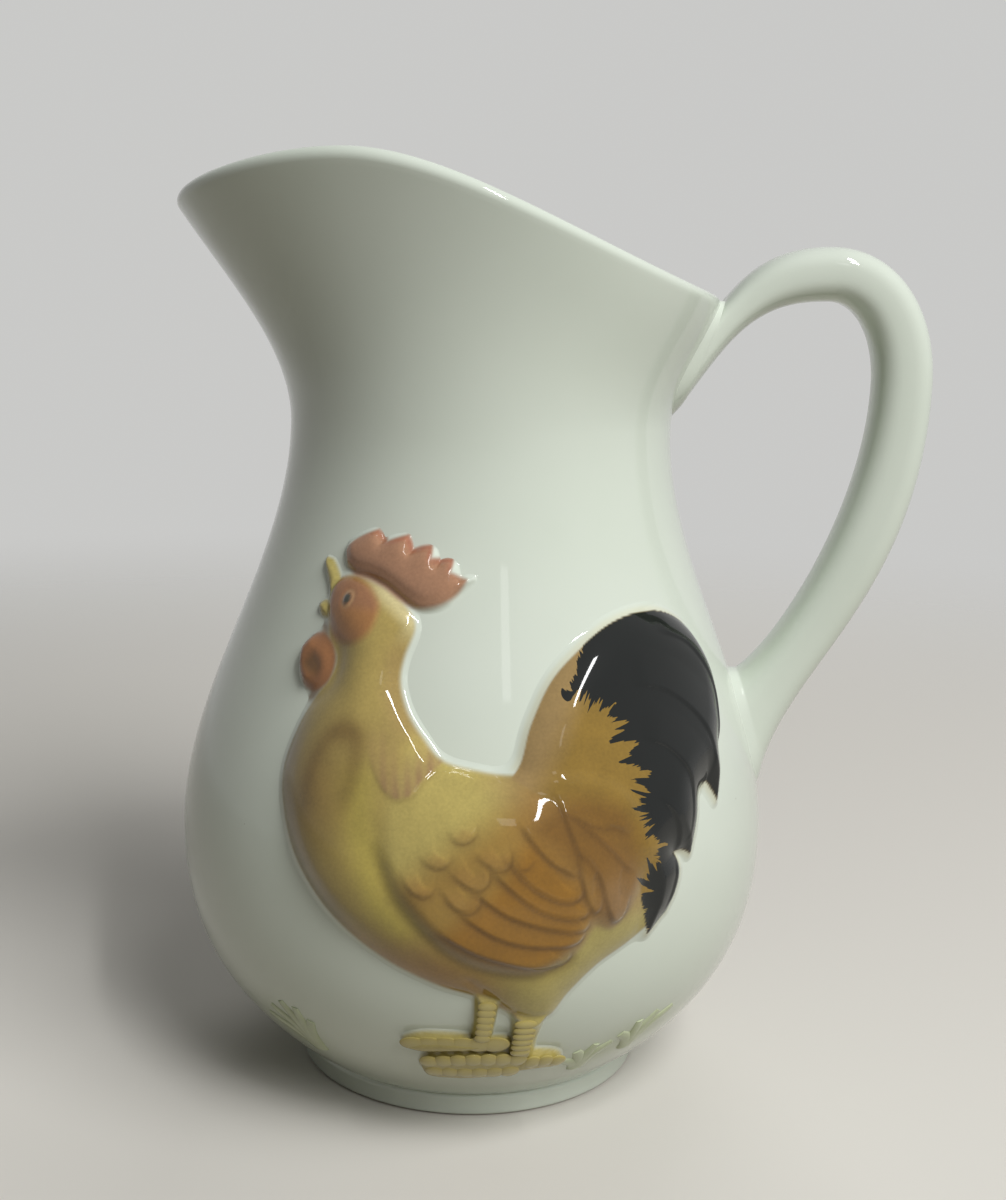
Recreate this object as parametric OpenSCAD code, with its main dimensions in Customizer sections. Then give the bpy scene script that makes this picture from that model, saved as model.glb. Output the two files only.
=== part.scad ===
// Earthenware pitcher with a relief rooster on each side.
// Millimetres, +Z up. The origin is the middle of the foot, on the table.
// The spout points to -X and the handle to +X. The rooster faces the spout.

/* [Foot and belly] */
// Radius of the foot where it meets the table
foot_r = 45; // [40:0.5:52]
// Height of the foot ring
foot_h = 6.5; // [4:0.5:10]
// Width of the ring that the jug rests on
foot_land = 6; // [4:0.5:9]
// Largest radius of the belly
belly_r = 76; // [70:1:84]
// Height of the belly's widest ring
belly_z = 64; // [56:1:72]
// How far the wall spreads for each mm of height just above the foot
belly_spread = 1.3; // [1:0.05:1.6]
// Radius of the waist under the neck
waist_r = 48.5; // [44:0.5:54]
// Height of the waist
waist_z = 168; // [160:1:176]
// Thickness of the cast wall
wall = 4.5; // [3.5:0.25:6]
// Thickness of the jug's floor
floor_t = 6.5; // [5:0.5:8]

/* [Rim and spout] */
// Height of the rim at the handle
rim_low_z = 200.5; // [195:0.5:206]
// Height of the rim's crest, on each side of the spout
rim_crest_z = 229; // [222:1:236]
// Height of the rim at the spout's tip
spout_tip_z = 221; // [214:1:228]
// Angle from the handle round to the crest
crest_angle = 118; // [108:1:128]
// Radius of the rim at the handle
rim_back_r = 59.5; // [56:0.5:64]
// Radius of the rim at the sides
rim_side_r = 56; // [53:0.5:60]
// Reach of the spout's tip from the jug's axis
spout_reach = 76.5; // [70:0.5:84]
// How far the wall leans out at the rim for each mm of height
rim_flare = 0.3; // [0.2:0.05:0.45]
// How far the spout leans out at its tip for each mm of height
spout_flare = 0.7; // [0.5:0.05:0.9]

/* [Handle] */
// Thickness of the handle, seen from the side
handle_t = 14.4; // [12:0.2:17]
// Width of the handle, seen from behind
handle_w = 19; // [15:0.5:22]
// Reach of the handle's middle from the jug's axis
handle_reach = 106; // [100:1:112]
// Height at which the handle reaches furthest
handle_bow_z = 180; // [174:1:184]
// Distance of the handle's crest from the jug's axis
handle_crest_r = 86.8; // [82:0.2:90]
// Height of the handle's middle at its crest
handle_crest_z = 207; // [203:0.5:211]
// Middle height of the upper seat, on the neck
upper_seat_z = 185; // [182:0.5:186]
// Middle height of the lower seat, on the belly
lower_seat_z = 90; // [84:1:96]
// Height of the upper seat on the neck
upper_seat_h = 29; // [24:1:30]
// Height of the lower seat on the belly
lower_seat_h = 29; // [22:1:34]
// Width of both seats
seat_w = 23; // [20:0.5:28]

/* [Rooster] */
// Height of the rooster, from its toes to its comb
rooster_h = 125; // [110:1:130]
// Height of the rooster's toes above the table
rooster_z = 21; // [18:0.5:26]
// Height of the breast and wing above the wall
body_swell = 5; // [3:0.25:7]
// Height of a feather's ridge
feather_rise = 1.6; // [1:0.1:2.5]
// Thickness of a relief piece at its edge
edge_rise = 0.8; // [0.5:0.1:1.2]
// Room for the slip that joins a piece to the wall
lute = 0.2; // [0.1:0.05:0.4]
// Number of flight feathers
flight_count = 6; // [4:1:8]
// Number of saddle feathers
saddle_count = 4; // [3:1:6]
// Number of tail feathers
tail_count = 5; // [4:1:7]

/* [Hidden] */

glaze = "#c3d2c2";
ochre = "#a5762c";
olive = "#a4924a";
gold = "#b98a35";
black = "#2a3026";
coral = "#c4705a";
orange = "#b5642f";
straw = "#b9a85c";
moss = "#9aa58a";

// Facets of the jug: segments round the axis, and rings on each stretch of the wall
segments = 48;
belly_rings = 8;
shoulder_rings = 9;
neck_rings = 9;
lip_rings = 4;

// Narrowness of the spout in plan, and how late the rim starts to rise from the handle
spout_power = 4;
back_power = 2;
crest_lag = 1.3;

// The foot's rounded edge, and the groove between the foot and the belly
foot_round = 0.8;
foot_groove = 0.7;
belly_start_r = foot_r + 1.5;
recess_draft = 1;
recess_facets = 96;

// Step used to measure the wall's slope
slope_step = 0.5;

// How thin the handle is at its crest, how round it turns there, and how much of it its seats widen
crest_thin = 0.93;
round_share = 0.58;
flare_length = 0.17;

// How far the handle's outer and inner lines run straight on: from the neck, before and after the crest
// and the bow, and up from the belly
outer_pulls = [[6, 3], 16.5, 56.5, [3.4, 30.7]];
inner_pulls = [[13.3, 19], 20, 34, [8.6, 3]];

// Facets of the handle, its squarish section, and the rings that close it on the wall
handle_sides = 16;
handle_rings = 33;
section_power = 2.4;
seat_scales = [0.3, 0.65, 1];

// Facets of a limb and of a ridge, the share of a feather's width left between feathers, and how blunt
// their tips are
limb_steps = 4;
grass_steps = 3;
ridge_columns = 2;
feather_gap = 0.06;
tip_blunt = 0.15;

// The rooster's drawing, in mm on the unrolled belly, for a rooster of this height
drawing_h = 125;
drawing_scale = rooster_h / drawing_h;
domes = [[[-6, 55], [52, 42], 1], [[60, 78], [36, 36], 0.6], [[-26, 100], [24, 24], 0.5]];

head_rise = 3.5;
head_steps = 9;
body_columns = 6;
head_top = [[-41, 110], [-39, 113.5], [-33.5, 115], [-26.5, 114.4], [-19, 112], [-13, 108], [-11.3, 104.5]];
head_low = [[-40.5, 107], [-38.5, 102], [-34, 98.2], [-27, 97.4], [-20, 97.2], [-16, 97.4], [-13.4, 98.4]];

comb_rise = 1.4;
comb_teeth = 5;
comb_tooth = 3;
comb_steps = 20;
comb_top = [[-39, 119], [-34, 122.2], [-26, 122.6], [-18, 121.6], [-10, 119.6], [-3, 117], [4, 115]];
comb_low = [[-38, 117.4], [-32, 116], [-25, 114.8], [-18.6, 112.8], [-12, 109.4], [-5.5, 109.8], [2, 113.2]];

beak_w = 3.4;
beak_tip_w = 0.6;
beak_rise = 1;
upper_beak = [[-42.4, 112.4], [-46.5, 117.5]];
lower_beak = [[-41.8, 106.4], [-46, 107.4]];

wattle_rise = 2.2;
wattle_middle = [-41.4, 94.6];
wattle_size = [5.4, 6.4];
wattle_turn = 12;
wattle_steps = 8;
wattle_columns = 4;

// The hackle and the breast are one swelling that the hackle starts and the breast ends
hackle_rise = 3.6;
hackle_steps = 7;
breast_steps = 12;
hackle_span = [0.1, 0.5];
breast_span = [0.5, 1];
hackle_front = [[-33.6, 96.6], [-35, 91], [-39.5, 86], [-42.5, 79], [-43.8, 70.8]];
hackle_back = [[-13.4, 96.6], [-14.5, 92.5], [-12, 86.5], [-7.5, 81.2], [-2.4, 76.6]];

breast_outer = [[-43.8, 70], [-41.8, 62.5], [-36, 51.5], [-26, 40.5], [-14, 32.3], [-2, 26.8], [6.4, 24.2]];
breast_inner = [[-12.8, 73.8], [-16.2, 61.5], [-16, 54], [-11.2, 46.4], [-3.6, 39.8], [4.4, 34.2], [8.6, 31]];

flight_steps = 7;
flight_tip = 0.82;
flight_low = [[-6, 42.8], [4, 35.4], [15, 31.4], [27, 30.6]];
flight_high = [[14.6, 66.5], [21.5, 58.6], [31, 51.8], [43, 46.6]];

// The shoulder ends at the roots of the flight feathers
shoulder_rise = 2.4;
shoulder_gap = 1;
shoulder_steps = 7;
shoulder_columns = 5;
shoulder_front = [[-11.8, 74.2], [-15.4, 62.5], [-14.8, 54.5], [-11.2, 48.4], [-8.4, 45.2]];
shoulder_back = concat([[11.6, 74]], [for (f = [1, 0.7, 0.4, 0.1]) feather_root(f) - [shoulder_gap, 0]]);
function feather_root(f) = mix(flight_low[0], flight_high[0], f);

saddle_steps = 7;
saddle_tip = 0.8;
saddle_low = [[15.6, 67.6], [22.5, 59.8], [32, 53.4], [43.6, 48.6]];
saddle_high = [[16.4, 70.4], [28, 69.6], [41, 66.2], [49.6, 57]];

tail_steps = 13;
tail_tip = 0.8;
tail_low = [[16.4, 71.6], [23, 71.2], [31, 70.4], [39, 68.6], [46, 64.6], [50.6, 57], [51, 47], [48.5, 36]];
tail_high = [[14.2, 74], [17.4, 82], [25, 95], [42, 106], [66, 105.6], [83, 94], [82, 78], [73, 62.6]];

thigh_rise = 2;
thigh_steps = 8;
thigh_columns = 4;
thigh_top = [[9.6, 29.8], [15, 28.8], [27, 28.8], [33, 33.5], [38.5, 38.5], [44, 44]];
thigh_low = [[9.4, 25.6], [13, 21.6], [19, 18.2], [27, 22], [35, 30.5], [45, 37]];

leg_w = 4.8;
leg_rise = 1.6;
toe_w = 3.6;
toe_tip_w = 2.4;
toe_rise = 1.4;
near_shank = [[19, 17.4], [19.4, 11], [19.4, 7]];
near_toes = [[[21.4, 4.9], [6, 5], [-6.5, 4.2]], [[20, 1], [6, 1], [-6, 0.6]], [[22.4, 3.8], [31.5, 2.8]]];
far_shank = [[9.6, 22.8], [9, 17], [8.8, 12.4]];
far_toes = [[[13, 10.2], [0, 10.4], [-11.5, 9.8]]];

grass_w = 2;
grass_tip_w = 0.7;
grass_rise = 0.5;
grass_gather = 0.5;
grass = [[[-43, -1], [[-55, 6], [-51, 11], [-45, 13.5], [-40, 13], [-36.5, 8]]],
         [[40, -3], [[35, 2.5], [38.5, 6.5], [43, 7.5], [47, 4.5]]],
         [[53, 2], [[48.5, 9], [54, 12], [60.5, 12.5], [64, 7.5]]]];

function mix(a, b, t) = a + (b - a) * t;
function smooth(t) = t * t * (3 - 2 * t);
function hermite(a, b, slope_a, slope_b, span, t) =
    mix(a, b, smooth(t)) + span * t * (1 - t) * (slope_a * (1 - t) - slope_b * t);
function bezier(p, t) =
    mix(mix(mix(p[0], p[1], t), mix(p[1], p[2], t), t), mix(mix(p[1], p[2], t), mix(p[2], p[3], t), t), t);

// A smooth curve through the points p, for t from 0 to 1
function through(p, t) =
    let (last = len(p) - 1,
         i = min(floor(t * last), last - 1),
         u = t * last - i,
         before = p[max(i - 1, 0)],
         after = p[min(i + 2, last)])
    ((2 * p[i]) + (p[i + 1] - before) * u
     + (2 * before - 5 * p[i] + 4 * p[i + 1] - after) * u * u
     + (3 * p[i] - before - 3 * p[i + 1] + after) * u * u * u) / 2;
function stations(p, count) = [for (i = [0:count]) through(p, i / count)];

// The jug's wall. The angle a runs from 0 at the handle to 180 at the spout, the same on both sides.
function spout_share(a) = pow((1 - cos(a)) / 2, spout_power);
function back_share(a) = pow((1 + cos(a)) / 2, back_power);
function rim_r(a) =
    rim_side_r + (spout_reach - rim_side_r) * spout_share(a) + (rim_back_r - rim_side_r) * back_share(a);
function rim_z(a) =
    a < crest_angle
        ? mix(rim_low_z, rim_crest_z, smooth(pow(a / crest_angle, crest_lag)))
        : mix(rim_crest_z, spout_tip_z, smooth((a - crest_angle) / (180 - crest_angle)));
function rim_lean(a) = mix(rim_flare, spout_flare, spout_share(a));
function wall_top(a) = rim_z(a) - wall / 2;
function wall_r(a, z) =
    z < belly_z
        ? let (span = belly_z - foot_h)
          hermite(belly_start_r, belly_r, belly_spread, 0, span, (z - foot_h) / span)
    : z < waist_z
        ? mix(belly_r, waist_r, smooth((z - belly_z) / (waist_z - belly_z)))
        : let (span = wall_top(a) - waist_z)
          hermite(waist_r, rim_r(a), 0, rim_lean(a), span, (z - waist_z) / span);
function wall_slope(a, z) = (wall_r(a, z + slope_step) - wall_r(a, z - slope_step)) / (2 * slope_step);

// A point of the wall's profile as [radius, height], moved out by the given distance
function profile(a, z, out) =
    let (slope = wall_slope(a, z), length = norm([1, slope]))
    [wall_r(a, z) + out / length, z - out * slope / length];
function lip(a, turn) =
    let (slope = rim_lean(a), length = norm([1, slope]), middle = profile(a, wall_top(a), -wall / 2))
    middle + wall / 2 * (cos(turn) * [1, -slope] + sin(turn) * [slope, 1]) / length;
function steps(from, to, count) = [for (i = [1:count]) mix(from, to, i / count)];
function wall_heights(a) =
    concat([foot_h], steps(foot_h, belly_z, belly_rings), steps(belly_z, waist_z, shoulder_rings),
           steps(waist_z, wall_top(a), neck_rings));
function foot_profile() =
    [[foot_r - foot_round, 0], [foot_r, foot_round], [foot_r, foot_h - 2 * foot_groove],
     [foot_r - foot_groove, foot_h - foot_groove]];
function meridian(a) =
    let (heights = wall_heights(a), last = len(heights) - 1)
    concat(foot_profile(),
           [for (z = heights) profile(a, z, 0)],
           [for (i = [1:lip_rings - 1]) lip(a, 180 * i / lip_rings)],
           [for (i = [last:-1:0]) profile(a, heights[i], -wall)]);
function from_handle(turn) = turn <= 180 ? turn : 360 - turn;

module jug_shell() {
    rings = len(meridian(0));
    points = [for (s = [0:segments - 1])
                  let (turn = 360 * s / segments)
                  for (p = meridian(from_handle(turn)))
                      [p[0] * cos(turn), p[0] * sin(turn), p[1]]];
    sides = [for (s = [0:segments - 1], i = [0:rings - 2])
                 let (here = s * rings + i, next = (s + 1) % segments * rings + i)
                 each [[here, here + 1, next + 1], [here, next + 1, next]]];
    underside = [for (s = [0:segments - 1]) s * rings];
    inside_floor = [for (s = [segments - 1:-1:0]) s * rings + rings - 1];
    polyhedron(points, concat(sides, [underside, inside_floor]));
}

module jug_body() {
    recess_r = foot_r - foot_round - foot_land;
    recess_h = profile(0, foot_h, -wall)[1] - floor_t;
    color(glaze)
        difference() {
            jug_shell();
            translate([0, 0, -recess_h])
                cylinder(h = 2 * recess_h, r1 = recess_r + recess_draft, r2 = recess_r - recess_draft,
                         $fn = recess_facets);
        }
}

// The handle's two lines as [distance from the axis, height], for u from 0 at the neck to 1 at the belly.
// The outer line, on side 1, runs over the hand and the inner line, on side -1, under it.
function on_wall(z) = [wall_r(0, z) + lute, z];
function handle_curves(side, pulls) =
    let (neck = on_wall(upper_seat_z + side * upper_seat_h / 2),
         belly = on_wall(lower_seat_z - side * lower_seat_h / 2),
         crest = [handle_crest_r, handle_crest_z + side * crest_thin * handle_t / 2],
         bow = [handle_reach + side * handle_t / 2, handle_bow_z])
    [[neck, neck + pulls[0], crest - [pulls[1], 0], crest],
     [crest, crest + [round_share * (bow[0] - crest[0]), 0],
      bow + [0, round_share * (crest[1] - bow[1])], bow],
     [bow, bow - [0, pulls[2]], belly + pulls[3], belly]];
outer_curves = handle_curves(1, outer_pulls);
inner_curves = handle_curves(-1, inner_pulls);
function handle_line(curves, u) =
    let (part = min(floor(u * 3), 2))
    bezier(curves[part], u * 3 - part);

// Share of a seat's width at u: 1 on the wall, 0 where the handle has its plain width
function flare(u) = pow(max(0, 1 - u / flare_length), 2);
function section_w(u) = handle_w + (seat_w - handle_w) * (flare(u) + flare(1 - u));
function unit(v) = v / norm(v);
function squarish(x) = sign(x) * pow(abs(x), 2 / section_power);

// A ring of the handle's section at u, drawn in by a scale, as [x, y, z] points
function handle_ring(u, scale) =
    let (outer = handle_line(outer_curves, u), inner = handle_line(inner_curves, u))
    [for (i = [0:handle_sides - 1])
         let (turn = 360 * i / handle_sides,
              p = (outer + inner) / 2 + (outer - inner) / 2 * squarish(sin(turn)) * scale)
         [p[0], squarish(cos(turn)) * scale * section_w(u) / 2, p[1]]];

// The same ring laid on the jug's wall, with room for the slip
function seated_ring(u, scale) =
    [for (p = handle_ring(u, scale))
         let (a = asin(abs(p[1]) / p[0]), r = profile(a, p[2], lute)[0])
         [sqrt(r * r - p[1] * p[1]), p[1], p[2]]];

module handle() {
    rings = concat([for (scale = seat_scales) seated_ring(0, scale)],
                   [for (i = [1:handle_rings - 1]) handle_ring(i / handle_rings, 1)],
                   [for (i = [len(seat_scales) - 1:-1:0]) seated_ring(1, seat_scales[i])]);
    last = len(rings) - 1;
    points = [for (ring = rings) each ring];
    sides = [for (i = [0:last - 1], s = [0:handle_sides - 1])
                 let (here = i * handle_sides + s, next = i * handle_sides + (s + 1) % handle_sides)
                 each [[here, next, next + handle_sides], [here, next + handle_sides, here + handle_sides]]];
    first_cap = [for (s = [handle_sides - 1:-1:0]) s];
    last_cap = [for (s = [0:handle_sides - 1]) last * handle_sides + s];
    color(glaze)
        polyhedron(points, concat(sides, [first_cap, last_cap]));
}

// A point of the rooster's drawing on the wall. The drawing is unrolled on the belly: x runs from the spout
// to the handle and y upwards from the toes.
function on_belly(p, out) =
    let (turn = p[0] * drawing_scale / belly_r * 180 / PI,
         at = profile(abs(90 - turn), rooster_z + p[1] * drawing_scale, out))
    [at[0] * sin(turn), -at[0] * cos(turn), at[1]];

// The swell of the rooster's body, tail and head under their feathers. Each dome is [middle, size, share].
function dome(p, middle, size) =
    max(0, 1 - pow((p[0] - middle[0]) / size[0], 2) - pow((p[1] - middle[1]) / size[1], 2));
function swell(p) = body_swell * max([for (d = domes) d[2] * dome(p, d[0], d[1])]);
function crown(u) = sqrt(max(0, 4 * u * (1 - u)));

// A cushion of clay between two edges of the drawing, with the same number of stations on each edge.
// Its back follows the wall, in as many columns as its top or, where it is narrow, in one. It rises from its
// first end to its middle and falls to its last end, and span says which stretch of that the edges have.
module sprig(edge_a, edge_b, rise, columns, narrow = false, span = [0, 1]) {
    seat_columns = narrow ? 1 : columns;
    last = len(edge_a) - 1;
    top = [for (i = [0:last], j = [0:columns])
               let (u = j / columns, p = mix(edge_a[i], edge_b[i], u), along = mix(span[0], span[1], i / last))
               on_belly(p, lute + edge_rise + swell(p) + rise * crown(u) * sqrt(crown(along)))];
    seat = [for (i = [0:last], j = [0:seat_columns])
                on_belly(mix(edge_a[i], edge_b[i], j / seat_columns), lute)];
    row = columns + 1;
    seat_row = seat_columns + 1;
    low = len(top);
    top_faces = [for (i = [0:last - 1], j = [0:columns - 1])
                     let (here = i * row + j)
                     each [[here, here + 1, here + row], [here + 1, here + row + 1, here + row]]];
    seat_faces = [for (i = [0:last - 1], j = [0:seat_columns - 1])
                      let (here = low + i * seat_row + j)
                      each [[here, here + seat_row, here + 1],
                            [here + 1, here + seat_row, here + seat_row + 1]]];
    side_a = [for (i = [0:last - 1])
                  let (here = i * row, under = low + i * seat_row)
                  each [[here, here + row, under], [here + row, under + seat_row, under]]];
    side_b = [for (i = [0:last - 1])
                  let (here = i * row + columns, under = low + i * seat_row + seat_columns)
                  each [[here, under, here + row], [here + row, under, under + seat_row]]];
    far = last * row;
    far_low = low + last * seat_row;
    narrow_ends = [concat([low, low + 1], [for (j = [columns:-1:0]) j]),
                   concat([far_low + 1, far_low], [for (j = [0:columns]) far + j])];
    wide_ends = [for (j = [0:columns - 1])
                     each [[low + j, low + j + 1, j + 1], [low + j, j + 1, j],
                           [far_low + j + 1, far_low + j, far + j], [far_low + j + 1, far + j, far + j + 1]]];
    polyhedron(concat(top, seat),
               concat(top_faces, seat_faces, side_a, side_b, narrow ? narrow_ends : wide_ends));
}

// A tapered sprig along a line, such as a toe, a leg or a blade of grass
module limb(line, start_w, end_w, rise, steps = limb_steps) {
    across = unit([line[0][1] - line[len(line) - 1][1], line[len(line) - 1][0] - line[0][0]]);
    middle = stations(line, steps);
    half = [for (i = [0:steps]) mix(start_w, end_w, i / steps) / 2];
    sprig([for (i = [0:steps]) middle[i] + across * half[i]],
          [for (i = [0:steps]) middle[i] - across * half[i]], rise, ridge_columns, narrow = true);
}

// Feathers side by side, fanned between a low and a high edge that have the same number of points
function fan_line(low, high, f, t) = through([for (i = [0:len(low) - 1]) mix(low[i], high[i], f)], t);
function tip_width(t, start) = max(tip_blunt, sqrt(max(0, 1 - pow(max(0, (t - start) / (1 - start)), 2))));
module feather_fan(low, high, count, steps, tip_start) {
    half = (1 - feather_gap) / 2 / count;
    for (k = [0:count - 1])
        let (f = (k + 0.5) / count,
             edges = [for (side = [1, -1])
                          [for (i = [0:steps])
                               let (t = i / steps)
                               fan_line(low, high, f + side * half * tip_width(t, tip_start), t)]])
        sprig(edges[0], edges[1], feather_rise, ridge_columns, narrow = true);
}

// Every relief piece is on both sides of the jug
module both_sides() {
    children();
    mirror([0, 1, 0]) children();
}

module rooster_head() {
    color(olive) both_sides()
        sprig(stations(head_top, head_steps), stations(head_low, head_steps), head_rise, body_columns);
}

module rooster_comb() {
    top = [for (i = [0:comb_steps])
               let (t = i / comb_steps, tooth = comb_teeth * t)
               through(comb_top, t) + [0, comb_tooth * sin(180 * (tooth - floor(tooth)))]];
    color(coral) both_sides()
        sprig(top, stations(comb_low, comb_steps), comb_rise, ridge_columns);
}

module rooster_beak() {
    color(straw) both_sides() {
        limb(upper_beak, beak_w, beak_tip_w, beak_rise);
        limb(lower_beak, beak_w, beak_tip_w, beak_rise);
    }
}

module rooster_wattle() {
    arc = [for (i = [0:wattle_steps]) 90 + mix(wattle_turn, 180 - wattle_turn, i / wattle_steps)];
    color(orange) both_sides()
        sprig([for (turn = arc) wattle_middle + [-wattle_size[0] * cos(turn), wattle_size[1] * sin(turn)]],
              [for (turn = arc) wattle_middle + [wattle_size[0] * cos(turn), wattle_size[1] * sin(turn)]],
              wattle_rise, wattle_columns);
}

module rooster_hackle() {
    color(olive) both_sides()
        sprig(stations(hackle_back, hackle_steps), stations(hackle_front, hackle_steps), hackle_rise,
              body_columns, span = hackle_span);
}

module rooster_breast() {
    color(ochre) both_sides()
        sprig(stations(breast_inner, breast_steps), stations(breast_outer, breast_steps), hackle_rise,
              body_columns, span = breast_span);
}

module rooster_wing_shoulder() {
    color(olive) both_sides()
        sprig(stations(shoulder_back, shoulder_steps), stations(shoulder_front, shoulder_steps),
              shoulder_rise, shoulder_columns);
}

module rooster_flight_feathers() {
    color(ochre) both_sides()
        feather_fan(flight_low, flight_high, flight_count, flight_steps, flight_tip);
}

module rooster_saddle_feathers() {
    color(gold) both_sides()
        feather_fan(saddle_low, saddle_high, saddle_count, saddle_steps, saddle_tip);
}

module rooster_tail_feathers() {
    color(black) both_sides()
        feather_fan(tail_low, tail_high, tail_count, tail_steps, tail_tip);
}

module rooster_thigh() {
    color(straw) both_sides()
        sprig(stations(thigh_top, thigh_steps), stations(thigh_low, thigh_steps), thigh_rise, thigh_columns);
}

module rooster_near_leg() {
    color(straw) both_sides() {
        limb(near_shank, leg_w, leg_w, leg_rise);
        for (toe = near_toes) limb(toe, toe_w, toe_tip_w, toe_rise);
    }
}

module rooster_far_leg() {
    color(straw) both_sides() {
        limb(far_shank, leg_w, leg_w, leg_rise);
        for (toe = far_toes) limb(toe, toe_w, toe_tip_w, toe_rise);
    }
}

module grass_tufts() {
    color(moss) both_sides()
        for (tuft = grass, tip = tuft[1])
            let (root = mix(tuft[0], tip, grass_gather))
            limb([root, tip], grass_w, grass_tip_w, grass_rise, grass_steps);
}

jug_body();
handle();
rooster_head();
rooster_comb();
rooster_beak();
rooster_wattle();
rooster_hackle();
rooster_breast();
rooster_wing_shoulder();
rooster_flight_feathers();
rooster_saddle_feathers();
rooster_tail_feathers();
rooster_thigh();
rooster_near_leg();
rooster_far_leg();
grass_tufts();
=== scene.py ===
"""Looks of a glazed earthenware pitcher with a relief rooster on each side.

Lengths are in millimetres up to the point where a mesh is made, and metres from there on. The spout points
to -X and the handle to +X. The rooster is drawn flat, on the unrolled belly: x runs from the spout to the
handle, and y upwards from its toes.
"""
import math

import bpy
import numpy as np
from mathutils import Matrix, Vector


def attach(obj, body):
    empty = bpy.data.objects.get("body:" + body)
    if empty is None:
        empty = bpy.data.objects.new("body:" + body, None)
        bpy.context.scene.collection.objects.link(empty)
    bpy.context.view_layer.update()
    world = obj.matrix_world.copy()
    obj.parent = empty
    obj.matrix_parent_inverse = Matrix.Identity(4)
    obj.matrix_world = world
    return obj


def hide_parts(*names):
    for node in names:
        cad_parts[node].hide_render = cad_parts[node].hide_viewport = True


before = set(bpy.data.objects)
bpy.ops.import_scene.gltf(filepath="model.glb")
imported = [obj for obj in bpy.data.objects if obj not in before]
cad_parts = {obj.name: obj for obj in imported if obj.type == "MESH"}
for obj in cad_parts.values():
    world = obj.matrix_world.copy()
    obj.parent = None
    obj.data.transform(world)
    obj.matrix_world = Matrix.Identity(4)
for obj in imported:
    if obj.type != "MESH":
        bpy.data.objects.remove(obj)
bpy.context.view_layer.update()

MM = 0.001

# Foot, belly and waist
FOOT_R = 45.0
FOOT_H = 6.5
FOOT_LAND = 6.0
FOOT_ROUND = 0.8
BELLY_START_R = FOOT_R + 1.5
BELLY_R = 76.0
BELLY_Z = 64.0
BELLY_SPREAD = 1.3
WAIST_R = 48.5
WAIST_Z = 168.0
WALL = 4.5
FLOOR_T = 6.5

# Rim and spout
RIM_LOW_Z = 200.5
RIM_CREST_Z = 228.8
SPOUT_TIP_Z = 221.0
CREST_ANGLE = math.radians(118)
CREST_LAG = 1.3
RIM_BACK_R = 59.5
RIM_SIDE_R = 56.0
SPOUT_REACH = 76.4
SPOUT_POWER = 4
BACK_POWER = 2
RIM_FLARE = 0.3
SPOUT_FLARE = 0.7
SLOPE_STEP = 0.5

# Handle
HANDLE_T = 14.4
HANDLE_W = 19.0
HANDLE_REACH = 106.0
HANDLE_BOW_Z = 180.0
HANDLE_CREST_R = 86.8
HANDLE_CREST_Z = 207.0
UPPER_SEAT_Z = 185.0
LOWER_SEAT_Z = 90.0
UPPER_SEAT_H = 29.0
LOWER_SEAT_H = 29.0
SEAT_W = 23.0
CREST_THIN = 0.93
ROUND_SHARE = 0.58
FLARE_LENGTH = 0.17
OUTER_PULLS = ((4.4, 5.4), 16.5, 56.5, (3.4, 30.7))
INNER_PULLS = ((13.3, 19.0), 20.0, 34.0, (8.6, 3.0))
SECTION_POWER = 2.8

# Rooster: the height of its toes, the grid that its relief is worked out on, how far the clay's round edge
# reaches beyond the paint, how deep its pieces go into the wall, how thin they may be, the height from which
# they are kept, and the slope and the fillet where the relief runs out on the wall
ROOSTER_Z = 21.0
GRID_STEP = 0.45
GRID_X = (-58.0, 92.0)
GRID_Y = (-5.0, 130.0)
HALO = 0.9
TAIL_HALO = 1.7
BURIED = -0.8
LEAST_THICK = 0.3
RAISED_FROM = -0.22
FOOT_SLOPE = 0.12
FOOT_FILLET = 0.9


def mix(a, b, t):
    return a + (b - a) * t


def smooth(t):
    return t * t * (3 - 2 * t)


def ramp(x, low, high):
    """0 below low, 1 above high, and a smooth rise between."""
    return smooth(np.clip((x - low) / (high - low), 0, 1))


def bell(x, width):
    return np.exp(-(x / width) ** 2)


def hermite(a, b, slope_a, slope_b, span, t):
    return mix(a, b, smooth(t)) + span * t * (1 - t) * (slope_a * (1 - t) - slope_b * t)


def along(points, t):
    """A smooth curve through the points at each t from 0 to 1, smooth at its start too where it closes."""
    p = np.asarray(points, float)
    last = len(p) - 1
    closed = np.allclose(p[0], p[-1])
    i = np.clip(np.floor(t * last).astype(int), 0, last - 1)
    u = (t * last - i)[..., None]
    before = p[(i - 1) % last if closed else np.maximum(i - 1, 0)]
    here = p[i]
    there = p[i + 1]
    after = p[(i + 2) % last if closed else np.minimum(i + 2, last)]
    return (2 * here + (there - before) * u + (2 * before - 5 * here + 4 * there - after) * u ** 2
            + (3 * here - before - 3 * there + after) * u ** 3) / 2


def curve(points, steps=8):
    """A smooth line through the points, with that many steps between two of them."""
    return along(points, np.linspace(0, 1, (len(points) - 1) * steps + 1))


# The wall of the jug. The angle a runs from 0 at the handle to pi at the spout, the same on both sides.
def spout_share(a):
    return ((1 - np.cos(a)) / 2) ** SPOUT_POWER


def rim_r(a):
    back_share = ((1 + np.cos(a)) / 2) ** BACK_POWER
    return RIM_SIDE_R + (SPOUT_REACH - RIM_SIDE_R) * spout_share(a) + (RIM_BACK_R - RIM_SIDE_R) * back_share


def rim_z(a):
    climb = np.clip(a / CREST_ANGLE, 0, 1) ** CREST_LAG
    fall = np.clip((a - CREST_ANGLE) / (math.pi - CREST_ANGLE), 0, 1)
    return np.where(a < CREST_ANGLE, mix(RIM_LOW_Z, RIM_CREST_Z, smooth(climb)),
                    mix(RIM_CREST_Z, SPOUT_TIP_Z, smooth(fall)))


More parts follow.
